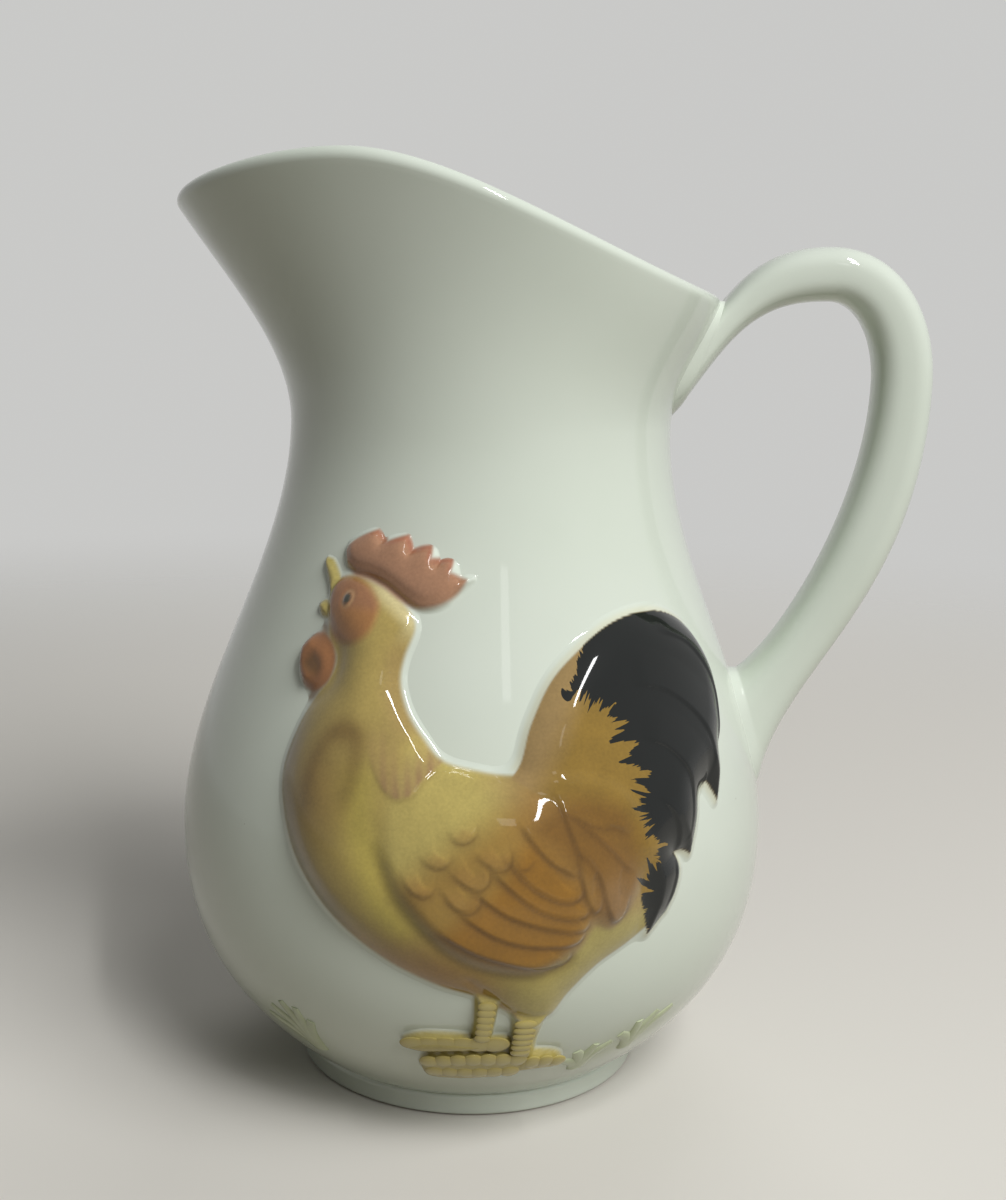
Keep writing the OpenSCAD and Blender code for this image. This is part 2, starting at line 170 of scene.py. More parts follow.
def rim_lean(a):
    return mix(RIM_FLARE, SPOUT_FLARE, spout_share(a))


def wall_top(a):
    return rim_z(a) - WALL / 2


def wall_r(a, z):
    belly_span = BELLY_Z - FOOT_H
    neck_span = wall_top(a) - WAIST_Z
    belly = hermite(BELLY_START_R, BELLY_R, BELLY_SPREAD, 0, belly_span, (z - FOOT_H) / belly_span)
    shoulder = mix(BELLY_R, WAIST_R, smooth((z - BELLY_Z) / (WAIST_Z - BELLY_Z)))
    neck = hermite(WAIST_R, rim_r(a), 0, rim_lean(a), neck_span, (z - WAIST_Z) / neck_span)
    return np.where(z < BELLY_Z, belly, np.where(z < WAIST_Z, shoulder, neck))


def wall_slope(a, z):
    return (wall_r(a, z + SLOPE_STEP) - wall_r(a, z - SLOPE_STEP)) / (2 * SLOPE_STEP)


def profile(a, z, out):
    """Radius and height of the wall's point at z, moved out by the given distance."""
    slope = wall_slope(a, z)
    length = np.hypot(1, slope)
    return wall_r(a, z) + out / length, z - out * slope / length


def on_belly(x, y, out):
    """Points of the rooster's drawing on the wall, on the -Y side."""
    turn = x / BELLY_R
    r, z = profile(np.abs(math.pi / 2 - turn), ROOSTER_Z + y, out)
    return np.stack([r * np.sin(turn), -r * np.cos(turn), z], axis=-1)


# Meshes and materials
def make_piece(name, points, faces, material, replaced):
    """An object in the frame from points in mm, which rides on the jug and stands for the replaced nodes."""
    mesh = bpy.data.meshes.new(name)
    mesh.from_pydata((np.asarray(points) * MM).tolist(), [], faces)
    mesh.polygons.foreach_set("use_smooth", np.ones(len(mesh.polygons), bool))
    mesh.materials.append(material)
    mesh.update()
    piece = bpy.data.objects.new(name, mesh)
    bpy.context.scene.collection.objects.link(piece)
    join_frame(piece, replaced)
    return piece


def join_frame(piece, replaced):
    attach(piece, "root")
    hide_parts(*replaced)


def store(mesh, name, kind, field, values):
    attribute = mesh.attributes.new(name, kind, "POINT")
    attribute.data.foreach_set(field, np.asarray(values, np.float32).ravel())


def linear(code):
    """An sRGB hex colour as linear red, green and blue."""
    value = np.array([int(code[i:i + 2], 16) for i in (1, 3, 5)]) / 255
    return np.where(value <= 0.04045, value / 12.92, ((value + 0.055) / 1.055) ** 2.4)


def rgba(code):
    return (*linear(code), 1.0)


def node(tree, kind, links=(), **settings):
    """Adds a node, sets its properties and its inputs, and links its inputs from the given sockets."""
    made = tree.nodes.new(kind)
    for key, value in settings.items():
        if key == "inputs":
            for name, content in value.items():
                made.inputs[name].default_value = content
        else:
            setattr(made, key, value)
    for name, socket in dict(links).items():
        tree.links.new(socket, made.inputs[name])
    return made


def grid_faces(rows, columns, closed):
    """Quads of a grid of points in rows, which closes on itself along each row where closed."""
    faces = []
    for i in range(rows - 1):
        for j in range(columns if closed else columns - 1):
            k = (j + 1) % columns
            faces.append((i * columns + j, i * columns + k, (i + 1) * columns + k, (i + 1) * columns + j))
    return faces


# Clear glaze over off-white earthenware: a slightly green white with a wet, mirror-sharp gloss
GLAZE_WHITE = "#d5dcd1"
GLAZE_POOLED = "#c9d2c4"
BARE_CLAY = "#cfc3ac"
MOSS = "#9aa472"
PINHOLE = "#6d6a58"
PINHOLE_SHARE = 0.6
TAIL_BLACK = "#0b0f0e"
GLAZE_IOR = 1.5

# Sizes in mm: the glaze's waves, its thick and thin places, the spacing of its pinholes, the grain and the
# blotches of sprayed paint, the patches on the grass, and how high the waves are on bare glaze and over paint
WAVE_MM = 14.0
CLOUD_MM = 45.0
SPECK_MM = 16.0
GRAIN_MM = 0.7
BLOTCH_MM = 6.0
GRASS_CLOUD_MM = 5.0
GLAZE_BUMP_MM = 0.03
PAINT_BUMP_MM = 0.02

# A pinhole's core and edge as shares of the pinholes' spacing, and the heights in mm where bare clay ends and
# full glaze starts
PINHOLE_CORE = 0.012
PINHOLE_EDGE = 0.02
CLAY_TOP_MM = 0.05
GLAZE_START_MM = 0.4


def glaze_shader(tree, colour, bump_mm=GLAZE_BUMP_MM):
    """The glazed surface: a matt coloured body under a clear glossy coat, with the coat's faint waviness."""
    place = node(tree, "ShaderNodeTexCoord").outputs["Object"]
    waves = node(tree, "ShaderNodeTexNoise", {"Vector": place},
                 inputs={"Scale": 1 / (WAVE_MM * MM), "Detail": 1.0})
    bump = node(tree, "ShaderNodeBump", {"Height": waves.outputs["Fac"]},
                inputs={"Strength": 1.0, "Distance": bump_mm * MM})
    shader = node(tree, "ShaderNodeBsdfPrincipled",
                  {"Base Color": colour, "Coat Normal": bump.outputs["Normal"]},
                  inputs={"Roughness": 0.45, "IOR": GLAZE_IOR, "Specular IOR Level": 0.05, "Coat Weight": 1.0,
                          "Coat Roughness": 0.04, "Coat IOR": GLAZE_IOR})
    node(tree, "ShaderNodeOutputMaterial", {"Surface": shader.outputs["BSDF"]})


def new_material(name):
    material = bpy.data.materials.new(name)
    material.use_nodes = True
    material.node_tree.nodes.clear()
    return material, material.node_tree


def white_glaze():
    """Slip-cast earthenware in clear glaze: off-white, a little greener where the glaze is thick, bare clay
    under the foot, with a few dark pinholes and a breath of moss green sprayed round the grass."""
    material, tree = new_material("clear_glazed_earthenware")
    place = node(tree, "ShaderNodeTexCoord").outputs["Object"]
    cloud = node(tree, "ShaderNodeTexNoise", {"Vector": place},
                 inputs={"Scale": 1 / (CLOUD_MM * MM), "Detail": 3.0})
    pooled = node(tree, "ShaderNodeMix", {"Factor": cloud.outputs["Fac"]}, data_type="RGBA",
                  inputs={6: rgba(GLAZE_WHITE), 7: rgba(GLAZE_POOLED)})
    specks = node(tree, "ShaderNodeTexVoronoi", {"Vector": place}, inputs={"Scale": 1 / (SPECK_MM * MM)})
    pinhole = node(tree, "ShaderNodeMapRange", {"Value": specks.outputs["Distance"]},
                   inputs={"From Min": PINHOLE_CORE, "From Max": PINHOLE_EDGE, "To Min": PINHOLE_SHARE,
                           "To Max": 0.0})
    specked = node(tree, "ShaderNodeMix", {"Factor": pinhole.outputs["Result"], 6: pooled.outputs[2]},
                   data_type="RGBA", inputs={7: rgba(PINHOLE)})
    height = node(tree, "ShaderNodeSeparateXYZ", {"Vector": place})
    under = node(tree, "ShaderNodeMapRange", {"Value": height.outputs["Z"]},
                 inputs={"From Min": CLAY_TOP_MM * MM, "From Max": GLAZE_START_MM * MM, "To Min": 1.0,
                         "To Max": 0.0})
    moss = node(tree, "ShaderNodeAttribute", attribute_name="moss")
    mossy = node(tree, "ShaderNodeMix", {"Factor": moss.outputs["Fac"], 6: specked.outputs[2]},
                 data_type="RGBA", inputs={7: rgba(MOSS)})
    footed = node(tree, "ShaderNodeMix", {"Factor": under.outputs["Result"], 6: mossy.outputs[2]},
                  data_type="RGBA", inputs={7: rgba(BARE_CLAY)})
    glaze_shader(tree, footed.outputs[2])
    return material


# Brush strokes at the tail's black border: their slant, how many there are to a mm, how far they reach to
# either side, and how soft their edges are
STROKE_SLANT = -0.2
STROKES_PER_MM = 0.36
STROKE_REACH = 3.6
STROKE_SOFT = 0.15


def underglaze_paint(name):
    """Airbrushed and hand-brushed underglaze colour under the clear glaze: it lies softly on the relief, with
    a fine spray grain. The black of the tail ends in ragged brush strokes."""
    material, tree = new_material(name)
    place = node(tree, "ShaderNodeTexCoord").outputs["Object"]
    paint = node(tree, "ShaderNodeAttribute", attribute_name="paint")
    grain = node(tree, "ShaderNodeTexNoise", {"Vector": place},
                 inputs={"Scale": 1 / (GRAIN_MM * MM), "Detail": 2.0})
    blotch = node(tree, "ShaderNodeTexNoise", {"Vector": place},
                  inputs={"Scale": 1 / (BLOTCH_MM * MM), "Detail": 2.0})
    both = node(tree, "ShaderNodeMath", {0: grain.outputs["Fac"], 1: blotch.outputs["Fac"]}, operation="ADD")
    level = node(tree, "ShaderNodeMapRange", {"Value": both.outputs["Value"]},
                 inputs={"From Min": 0.6, "From Max": 1.4, "To Min": 0.86, "To Max": 1.12})
    grained = node(tree, "ShaderNodeMix", {"Factor": paint.outputs["Alpha"], 3: level.outputs["Result"]},
                   inputs={2: 1.0})
    sprayed = node(tree, "ShaderNodeVectorMath",
                   {0: paint.outputs["Color"], "Scale": grained.outputs["Result"]}, operation="SCALE")
    border = node(tree, "ShaderNodeAttribute", attribute_name="border")
    parts = node(tree, "ShaderNodeSeparateXYZ", {"Vector": border.outputs["Vector"]})
    slanted = node(tree, "ShaderNodeMath", {0: parts.outputs["X"], 2: parts.outputs["Y"]},
                   operation="MULTIPLY_ADD", inputs={1: STROKE_SLANT})
    strokes = node(tree, "ShaderNodeTexNoise", {"W": slanted.outputs["Value"]}, noise_dimensions="1D",
                   inputs={"Scale": STROKES_PER_MM, "Detail": 3.0, "Roughness": 0.7})
    reach = node(tree, "ShaderNodeMapRange", {"Value": strokes.outputs["Fac"]},
                 inputs={"From Min": 0.3, "From Max": 0.7, "To Min": -STROKE_REACH, "To Max": STROKE_REACH})
    past = node(tree, "ShaderNodeMath", {0: parts.outputs["X"], 1: reach.outputs["Result"]}, operation="ADD")
    black = node(tree, "ShaderNodeMapRange", {"Value": past.outputs["Value"]},
                 inputs={"From Min": -STROKE_SOFT, "From Max": STROKE_SOFT})
    gate = node(tree, "ShaderNodeMath", {0: black.outputs["Result"], 1: parts.outputs["Z"]},
                operation="MULTIPLY")
    tail = node(tree, "ShaderNodeMix", {"Factor": gate.outputs["Value"], 6: sprayed.outputs["Vector"]},
                data_type="RGBA", inputs={7: rgba(TAIL_BLACK)})
    glaze_shader(tree, tail.outputs[2], bump_mm=PAINT_BUMP_MM)
    return material


# The jug's body
SEGMENTS = 256
BELLY_RINGS = 44
SHOULDER_RINGS = 44
NECK_RINGS = 44
LIP_RINGS = 12
FOOT_GROOVE = 0.7
POLE_R = 0.02

# Rings of the recess under the foot: one at a share of its radius, and then steps out and up from its upper
# edge and from its lower edge. Beyond it are two rings at shares of the land that the jug stands on.
RECESS_SHARE = 0.6
RECESS_TOP = ((-2.5, 0.0), (-1.2, -0.25), (-0.3, -1.0))
RECESS_LOW = ((0.6, 0.7), (0.9, 0.2), (1.5, 0.0))
LAND_SHARES = (0.3, 0.7)
FOOT_EDGE_RINGS = 6

# Rings of the floor inside, as shares of its radius, and how far each lies below the wall's lowest ring
FLOOR_RINGS = ((0.985, 0.35), (0.94, 0.5), (0.8, 0.5), (0.4, 0.5), (0.0, 0.5))

# Places in the rooster's drawing where moss green is sprayed on the wall: x, y, width and height
MOSS_SPOTS = ((-49, 3, 10, 7), (42, 0, 10, 4), (58, 5, 11, 5))
MOSS_STRENGTH = 0.6


def jug_rows(a):
    """The jug's rings as radius and height, from the middle of its underside to the middle of its floor."""
    rows = []
    ones = np.ones_like(a)
    inner_foot = profile(a, FOOT_H * ones, -WALL)
    floor_z = float(inner_foot[1][0])
    recess_r = FOOT_R - FOOT_ROUND - FOOT_LAND
    recess_h = floor_z - FLOOR_T
    underside = [(POLE_R, recess_h), (recess_r * RECESS_SHARE, recess_h)]
    underside += [(recess_r + out, recess_h + up) for out, up in RECESS_TOP]
    underside += [(recess_r + out, up) for out, up in RECESS_LOW]
    land = [(mix(underside[-1][0], FOOT_R - FOOT_ROUND, t), 0.0) for t in LAND_SHARES]
    turns = np.radians(np.linspace(-90, 0, FOOT_EDGE_RINGS))
    edge = [(FOOT_R + FOOT_ROUND * (math.cos(t) - 1), FOOT_ROUND * (math.sin(t) + 1)) for t in turns]
    ring_h = FOOT_H - 2 * FOOT_GROOVE
    groove = curve([(FOOT_R, FOOT_ROUND), (FOOT_R, ring_h * 0.6), (FOOT_R - 0.1, ring_h * 0.9),
                    (FOOT_R - FOOT_GROOVE, FOOT_H - FOOT_GROOVE * 0.9), (BELLY_START_R, FOOT_H)], 4)[1:-1]
    for r, z in [*underside, *land, *edge, *groove]:
        rows.append((r * ones, z * ones))
    heights = [mix(FOOT_H, BELLY_Z, t) * ones for t in np.linspace(0, 1, BELLY_RINGS)]
    heights += [mix(BELLY_Z, WAIST_Z, t) * ones for t in np.linspace(0, 1, SHOULDER_RINGS)[1:]]
    heights += [mix(WAIST_Z, wall_top(a), t) for t in np.linspace(0, 1, NECK_RINGS)[1:]]
    rows += [profile(a, z, 0) for z in heights]
    slope = rim_lean(a)
    length = np.hypot(1, slope)
    lip_r, lip_z = profile(a, wall_top(a), -WALL / 2)
    for turn in np.linspace(0, math.pi, LIP_RINGS + 1)[1:-1]:
        c = math.cos(turn) * WALL / 2 / length
        s = math.sin(turn) * WALL / 2 / length
        rows.append((lip_r + c + s * slope, lip_z - c * slope + s))
    rows += [profile(a, z, -WALL) for z in heights[::-2]]
    floor_r = inner_foot[0]
    rows += [(np.maximum(floor_r * share, POLE_R), floor_z * ones - drop) for share, drop in FLOOR_RINGS]
    return rows


def jug_body(material):
    turn = np.linspace(0, 2 * math.pi, SEGMENTS, endpoint=False)
    a = np.minimum(turn, 2 * math.pi - turn)
    rows = jug_rows(a)
    points = np.concatenate([np.stack([r * np.cos(turn), r * np.sin(turn), z], axis=-1) for r, z in rows])
    faces = grid_faces(len(rows), SEGMENTS, True)
    first_cap = list(range(SEGMENTS))[::-1]
    last_cap = [len(points) - SEGMENTS + i for i in range(SEGMENTS)]
    faces += [first_cap, last_cap]
    piece = make_piece("pitcher_body", points, faces, material, ["jug_body"])
    around = np.tile(a, len(rows))
    outside = np.hypot(points[:, 0], points[:, 1]) > wall_r(around, points[:, 2]) - WALL / 2
    drawn_x = BELLY_R * (math.pi / 2 - around)
    moss = sum(np.exp(-((drawn_x - x) / wide) ** 2 - ((points[:, 2] - ROOSTER_Z - y) / high) ** 2)
               for x, y, wide, high in MOSS_SPOTS)
    store(piece.data, "moss", "FLOAT", "value", np.clip(MOSS_STRENGTH * moss * outside, 0, 1))
    return piece


# The handle
HANDLE_SIDES = 56
HANDLE_RINGS = 220
RING_CROWDING = 0.13
SEAT_DEPTH = 1.0
SEAT_REACH = 4.0
RIM_ROOM = 0.8
LUTE_W = 1.4
LUTE_REACH = 4.0


def bezier(p, t):
    s = 1 - t
    return p[0] * s ** 3 + 3 * p[1] * s ** 2 * t + 3 * p[2] * s * t ** 2 + p[3] * t ** 3


def seat(z):
    return np.array([float(wall_r(np.array(0.0), np.array(z))), z])


def handle_curves(side, pulls):
    """The handle's outer line, on side 1, or its inner line, on side -1: three curves from the neck to the
    belly."""
    neck = seat(UPPER_SEAT_Z + side * UPPER_SEAT_H / 2)
    belly = seat(LOWER_SEAT_Z - side * LOWER_SEAT_H / 2)
    crest = np.array([HANDLE_CREST_R, HANDLE_CREST_Z + side * CREST_THIN * HANDLE_T / 2])
    bow = np.array([HANDLE_REACH + side * HANDLE_T / 2, HANDLE_BOW_Z])
    return [[neck, neck + pulls[0], crest - (pulls[1], 0), crest],
            [crest, crest + (ROUND_SHARE * (bow[0] - crest[0]), 0),
             bow + (0, ROUND_SHARE * (crest[1] - bow[1])), bow],
            [bow, bow - (0, pulls[2]), belly + pulls[3], belly]]


OUTER_CURVES = handle_curves(1, OUTER_PULLS)
INNER_CURVES = handle_curves(-1, INNER_PULLS)


def handle_line(curves, u):
    part = min(int(u * len(curves)), len(curves) - 1)
    return bezier(curves[part], u * len(curves) - part)


def flare(u):
    return max(0.0, 1 - u / FLARE_LENGTH) ** 2


def near_wall(ring, gap):
    """The ring's points moved to the given distance from the wall, below its rim."""
    a = np.arcsin(np.clip(np.abs(ring[:, 1]) / ring[:, 0], 0, 1))
    r, z = profile(a, np.minimum(ring[:, 2], rim_z(a) - RIM_ROOM), gap)
    return np.stack([np.sqrt(r ** 2 - ring[:, 1] ** 2), ring[:, 1], z], axis=-1)


def handle_ring(u, gap):
    """One ring round the handle at u along it, the given distance from the nearer seat."""
    turns = np.linspace(0, 2 * math.pi, HANDLE_SIDES, endpoint=False)
    across = np.sign(np.cos(turns)) * np.abs(np.cos(turns)) ** (2 / SECTION_POWER)
    upward = np.sign(np.sin(turns)) * np.abs(np.sin(turns)) ** (2 / SECTION_POWER)
    outer = handle_line(OUTER_CURVES, u)
    inner = handle_line(INNER_CURVES, u)
    lute = LUTE_W * max(0.0, 1 - gap / LUTE_REACH) ** 2
    middle = (outer + inner) / 2
    half = (outer - inner) / 2
    half *= 1 + lute / np.linalg.norm(half)
    wide = HANDLE_W + (SEAT_W - HANDLE_W) * (flare(u) + flare(1 - u)) + 2 * lute
    ring = np.stack([middle[0] + half[0] * upward, across * wide / 2, middle[1] + half[1] * upward], axis=-1)
    laid = smooth(np.clip(1 - gap / SEAT_REACH, 0, 1))
    return mix(ring, near_wall(ring, gap - SEAT_DEPTH), laid)


def handle(material):
    steps = np.linspace(0, 1, HANDLE_RINGS)
    places = steps - RING_CROWDING * np.sin(2 * math.pi * steps)
    line = np.array([handle_line(OUTER_CURVES, u) + handle_line(INNER_CURVES, u) for u in places]) / 2
    lengths = np.concatenate([[0], np.cumsum(np.linalg.norm(np.diff(line, axis=0), axis=1))])
    gaps = np.minimum(lengths, lengths[-1] - lengths)
    points = np.concatenate([handle_ring(u, gap) for u, gap in zip(places, gaps)])
    faces = [face[::-1] for face in grid_faces(HANDLE_RINGS, HANDLE_SIDES, True)]
    first_cap = list(range(HANDLE_SIDES))
    last_cap = [len(points) - 1 - i for i in range(HANDLE_SIDES)]
    faces += [first_cap, last_cap]
    return make_piece("pull_handle", points, faces, material, ["handle"])


# The rooster's drawing. Each outline is a list of smooth curves that meet in corners.
TRUNK = [[(-34.6, 95.5), (-35.4, 91), (-39.5, 86), (-42.5, 79), (-43.9, 70.5), (-41.8, 62.5), (-36, 51.5),
          (-26, 40.5), (-14, 32.3), (-2, 26.8), (7, 24), (13, 20.6), (19, 17.2), (24.5, 18), (28.5, 24),
          (35, 30.5), (45, 36.5), (49, 44), (48, 56), (40, 70), (26, 74), (14.2, 73.6), (6, 74.6),
          (-2.4, 76.6), (-7.5, 81.2), (-12, 86.5), (-14.6, 92.2), (-14.4, 97.2), (-12.4, 103.4),
          (-14.5, 106.9), (-20, 110.3), (-27.5, 112.9), (-34.5, 114.1), (-40, 112.9), (-42.5, 110),
          (-42.4, 105.2), (-38.6, 99.6), (-34.6, 95.5)]]
HEAD_TOP = [(-42.4, 105.2), (-42.5, 110), (-40, 112.9), (-34.5, 114.1), (-27.5, 112.9), (-20, 110.3),
            (-14.5, 106.9), (-12.2, 103.4), (-14, 98)]
HEAD_LOW = [(-14, 98), (-20.6, 95.4), (-30.6, 95.8), (-37.8, 99.2), (-42.4, 105.2)]
COMB = [[(-38.4, 116), (-40, 118.6), (-39.7, 120.9), (-35, 123), (-29.8, 124), (-26.9, 121.8)],
        [(-26.9, 121.8), (-22.3, 123), (-18.5, 123.2), (-17.2, 121.6), (-16.6, 120)],
        [(-16.6, 120), (-12.4, 121.1), (-9.1, 120.6), (-7.9, 118.8), (-7.7, 117.4)],
        [(-7.7, 117.4), (-4.4, 118.3), (-1.8, 117.4), (-1, 115.7), (-0.4, 114.4)],
        [(-0.4, 114.4), (2.1, 114.8), (4.2, 114.8)],
        [(4.2, 114.8), (1.6, 113.1), (-0.8, 111.5), (-3.6, 109.3), (-7.7, 108), (-12.6, 108.1), (-17.3, 110),
         (-22.3, 112.3), (-28.1, 113.9), (-34.3, 114.6), (-38.4, 116)]]
UPPER_BEAK = [[(-42, 108.6), (-44.4, 112), (-47, 114.8), (-48, 116.6)],
              [(-48, 116.6), (-45.2, 116.2), (-42.8, 114.6), (-40.4, 112.4)]]
LOWER_BEAK = [[(-41.6, 104.4), (-44.2, 104.8), (-46, 106.4)], [(-46, 106.4), (-44.2, 107.2), (-41.8, 107)]]
COMB_BRUSHED = [[(-38.2, 115.8), (-39.6, 118.2), (-35.7, 121.7), (-29.2, 124.2)],
                [(-29.2, 124.2), (-27.2, 123.2), (-24.8, 121.6)],
                [(-24.8, 121.6), (-21.5, 122.6), (-18.2, 123.5)],
                [(-18.2, 123.5), (-17, 122), (-16.2, 120.3)],
                [(-16.2, 120.3), (-13.3, 121.1), (-10.2, 121.6)],
                [(-10.2, 121.6), (-9.7, 120), (-9.7, 118.2)],
                [(-9.7, 118.2), (-6.6, 118.7), (-3, 118.9)],
                [(-3, 118.9), (-3, 117.2), (-3.5, 115.4)],
                [(-3.5, 115.4), (-1.2, 115), (1.6, 114.2)],
                [(1.6, 114.2), (-0.2, 112.2), (-2.9, 110.3), (-6.4, 108.9), (-10.8, 108.2), (-14.6, 108.5),
                 (-18.7, 109.9), (-23.6, 112), (-29.5, 113.6), (-34.5, 114.2), (-38.2, 115.8)]]
WATTLE = [[(-43.2, 100.4), (-37.5, 98.8), (-35, 95.2), (-35.5, 90.7), (-39.4, 88.2), (-43.9, 89),
           (-47.2, 92.8), (-47.6, 97.4), (-43.2, 100.4)]]
WATTLE_DENT = [[(-41.8, 96.2), (-38.4, 94.9), (-37.6, 92.4), (-39.3, 90.4), (-42.9, 91), (-44.8, 93.5),
                (-41.8, 96.2)]]
FACE = [[(-41.6, 110.4), (-39.2, 112.6), (-33.4, 113), (-28.2, 111.4), (-24.1, 108.1), (-23.1, 104.7),
         (-24.3, 101.1), (-28, 98.9), (-32.9, 98.7), (-37.1, 100), (-40.1, 104.2), (-41.6, 110.4)]]
EYE = (-33.4, 108.2)
TAIL = [[(14, 73), (16.6, 76.5), (19.4, 84), (25.5, 92.8), (34.5, 99.1), (45.4, 103.9), (57.6, 105.9),
         (69.5, 104.9), (79.5, 100.4), (84.3, 92.9), (84, 84.5), (80.9, 77.3), (77.6, 73.1), (75.7, 67),
         (72.5, 62)],
        [(72.5, 62), (70.8, 64.6), (69, 67)],
        [(69, 67), (65.4, 65.2), (63.4, 59.5), (60, 52.2)],
        [(60, 52.2), (57.4, 53.6), (54.4, 53.6)],
        [(54.4, 53.6), (56.2, 49.2), (55, 44.6), (52.4, 40.4)],
        [(52.4, 40.4), (50.4, 38.8), (47.4, 35.8)],
        [(47.4, 35.8), (45.6, 40), (44, 44), (43, 48)],
        [(43, 48), (36, 58), (25, 66), (14, 73)]]
WING_EDGE = [(-12, 75), (-14.4, 69), (-14.6, 62), (-14.2, 56.5), (-11.4, 49.6), (-7.8, 44.8), (-4, 40.6),
             (0.2, 36.7), (4.9, 34), (9.6, 32.4), (16.2, 31.4), (21, 31.8), (25.6, 34)]
WING = [WING_EDGE, [(25.6, 34), (28.6, 37.4), (31.4, 42), (36, 41), (41, 46), (48, 56)],
        [(48, 56), (44, 80)], [(44, 80), (-12, 84)], [(-12, 84), (-12, 75)]]
NEAR_SHANK = [[(15.4, 20), (16.6, 13), (16, 6)], [(16, 6), (22.8, 5.5)], [(22.8, 5.5), (22.2, 11), (24, 19)],
              [(24, 19), (15.4, 20)]]
NEAR_FOOT = [[(-7.6, 2), (-5.6, 5.9), (1.5, 7.4), (9.6, 7.9), (18, 7.2), (20.6, 3), (17, -0.2), (11, -1.3),
              (2.3, -1.8), (-5.6, -1.2), (-7.6, 2)]]
REAR_TOE = [[(19, 6.9), (26.7, 6.6), (30.8, 4.4), (30.6, 1.4), (23.7, 1), (18, 1.2), (19, 6.9)]]
FAR_SHANK = [[(6.8, 25), (7, 17), (6, 11)], [(6, 11), (10.8, 11)], [(10.8, 11), (11.3, 17), (12.2, 24)],
             [(12.2, 24), (6.8, 25)]]
FAR_FOOT = [[(-11.2, 10.2), (-6.3, 12.7), (1.6, 13.1), (9.4, 12.3), (14.9, 12.1), (15.6, 10.1), (9.6, 9),
             (1.5, 8.1), (-7.9, 7.6), (-11.2, 10.2)]]
THIGH_CREASE = [(5.5, 29), (7.6, 27.2), (11.2, 23.2), (15.4, 18.6)]
FLIGHT_AREA = [[(-4, 40.6), (0.2, 36.7), (4.9, 34), (9.6, 32.4), (16.2, 31.4), (21, 31.8), (25.6, 34),
                (28.6, 37.4), (30, 43), (30, 50), (25, 56), (19, 62), (14, 60), (9, 53), (2, 46), (-4, 40.6)]]
SADDLE_AREA = [[(16, 63), (22, 56), (28, 50), (29, 45), (31, 43), (36, 40.6), (40, 44), (46, 53), (46, 62),
                (38, 68), (26, 70), (16, 63)]]

# Lower edges of feathers that lie over their neighbours, from root to tip, with the feather on the left
FLIGHT_EDGES = [[(11, 58.6), (13.3, 55.6), (16.5, 52.1), (20.4, 49.3), (24.2, 47.8), (27.1, 48.1),
                 (28.1, 49.8), (27, 53)],
                [(8, 56), (10.5, 53.2), (13.8, 50.1), (17.6, 47.2), (21.4, 45.3), (26.2, 44.2),
                 (29.2, 44.8), (30, 48)],
                [(4, 51.6), (7.4, 48.9), (12, 45.7), (16.7, 43.7), (22.4, 42.1), (27.8, 41.1), (29.8, 42),
                 (30, 45)],
                [(1.6, 46.6), (5.1, 44.1), (10.3, 40.9), (15.9, 39), (21.6, 38.3), (27, 38.3), (29, 39.8),
                 (29, 42.6)],
                [(-2.4, 42.4), (1.1, 40.2), (6.7, 37.1), (13.2, 34.9), (19, 33.5), (24.8, 33.3), (26.6, 35),
                 (25.8, 38)]]
COVERT_EDGES = [[(-0.6, 64), (0.6, 61.8), (2, 60.2), (4.1, 60.2), (6, 61.9), (6, 64.4)],
                [(-6.4, 58.6), (-5.1, 56.9), (-3.7, 55.5), (-1.5, 54.9), (0.7, 56.2), (1, 58.6)],
                [(-0.6, 56), (0.8, 54.2), (3.2, 52.1), (6.4, 50.7), (8.7, 52.3), (8.6, 54.7), (7.4, 57)],
                [(-2, 51.8), (-0.5, 49.9), (1.9, 47.1), (4.7, 46.1), (6.7, 47.4), (7.1, 49.5), (6.4, 52)],
                [(4.8, 59.4), (6.3, 57.6), (8.6, 55.5), (11, 54.7), (12.8, 55.6), (13.2, 57.9), (12.4, 60.2)],
                [(12.8, 58.6), (14.2, 56.8), (15.4, 55.3), (16.5, 55.2), (17.5, 56.3), (17.4, 58.6)],
                [(-9.4, 55), (-8.4, 52.2), (-6.6, 49.8), (-4.2, 49), (-2.4, 50.4), (-2.2, 52.6)]]
SADDLE_EDGES = [[(13.8, 65.4), (15.6, 62.8), (18.5, 58.9), (21.8, 55.5), (25.2, 53.5), (28.6, 51.6)],
                [(22.4, 71), (24.1, 67.3), (25.8, 61.4), (27.4, 56.8), (27.8, 53), (28.8, 48.2),
                 (30.7, 45.1), (32.3, 46.2), (32.6, 50.4)],
                [(24.6, 61), (26.7, 58.4), (30.2, 55.1), (32.2, 50.9), (33.5, 46.1), (36, 42), (38.5, 43.4),
                 (39.5, 48.4)],
                [(22.4, 68.4), (24.5, 66.4), (27.9, 63.7), (31.9, 59.9), (35.3, 56.6), (38, 53.7),
                 (41.4, 51)],
                [(25.6, 66.2), (28.5, 64.1), (32.5, 62.3), (36.7, 61.6), (41, 59)]]
TAIL_EDGES = [[(46, 90), (57, 88), (67, 81), (71, 73), (69.4, 66.4)],
              [(46, 79), (54, 76), (60, 69), (59.4, 60), (55, 53.4)],
              [(48, 67), (53, 62), (55, 54), (53, 46), (50.6, 40)],
              [(60, 101), (71, 97), (78, 88), (78, 80), (76, 72)]]
CAPE_EDGE = [(-19.2, 77), (-17.8, 74.4), (-15.4, 70.7), (-11.8, 67.9), (-8, 68.6), (-6.4, 71), (-3.7, 73.8),
             (-1.3, 77)]
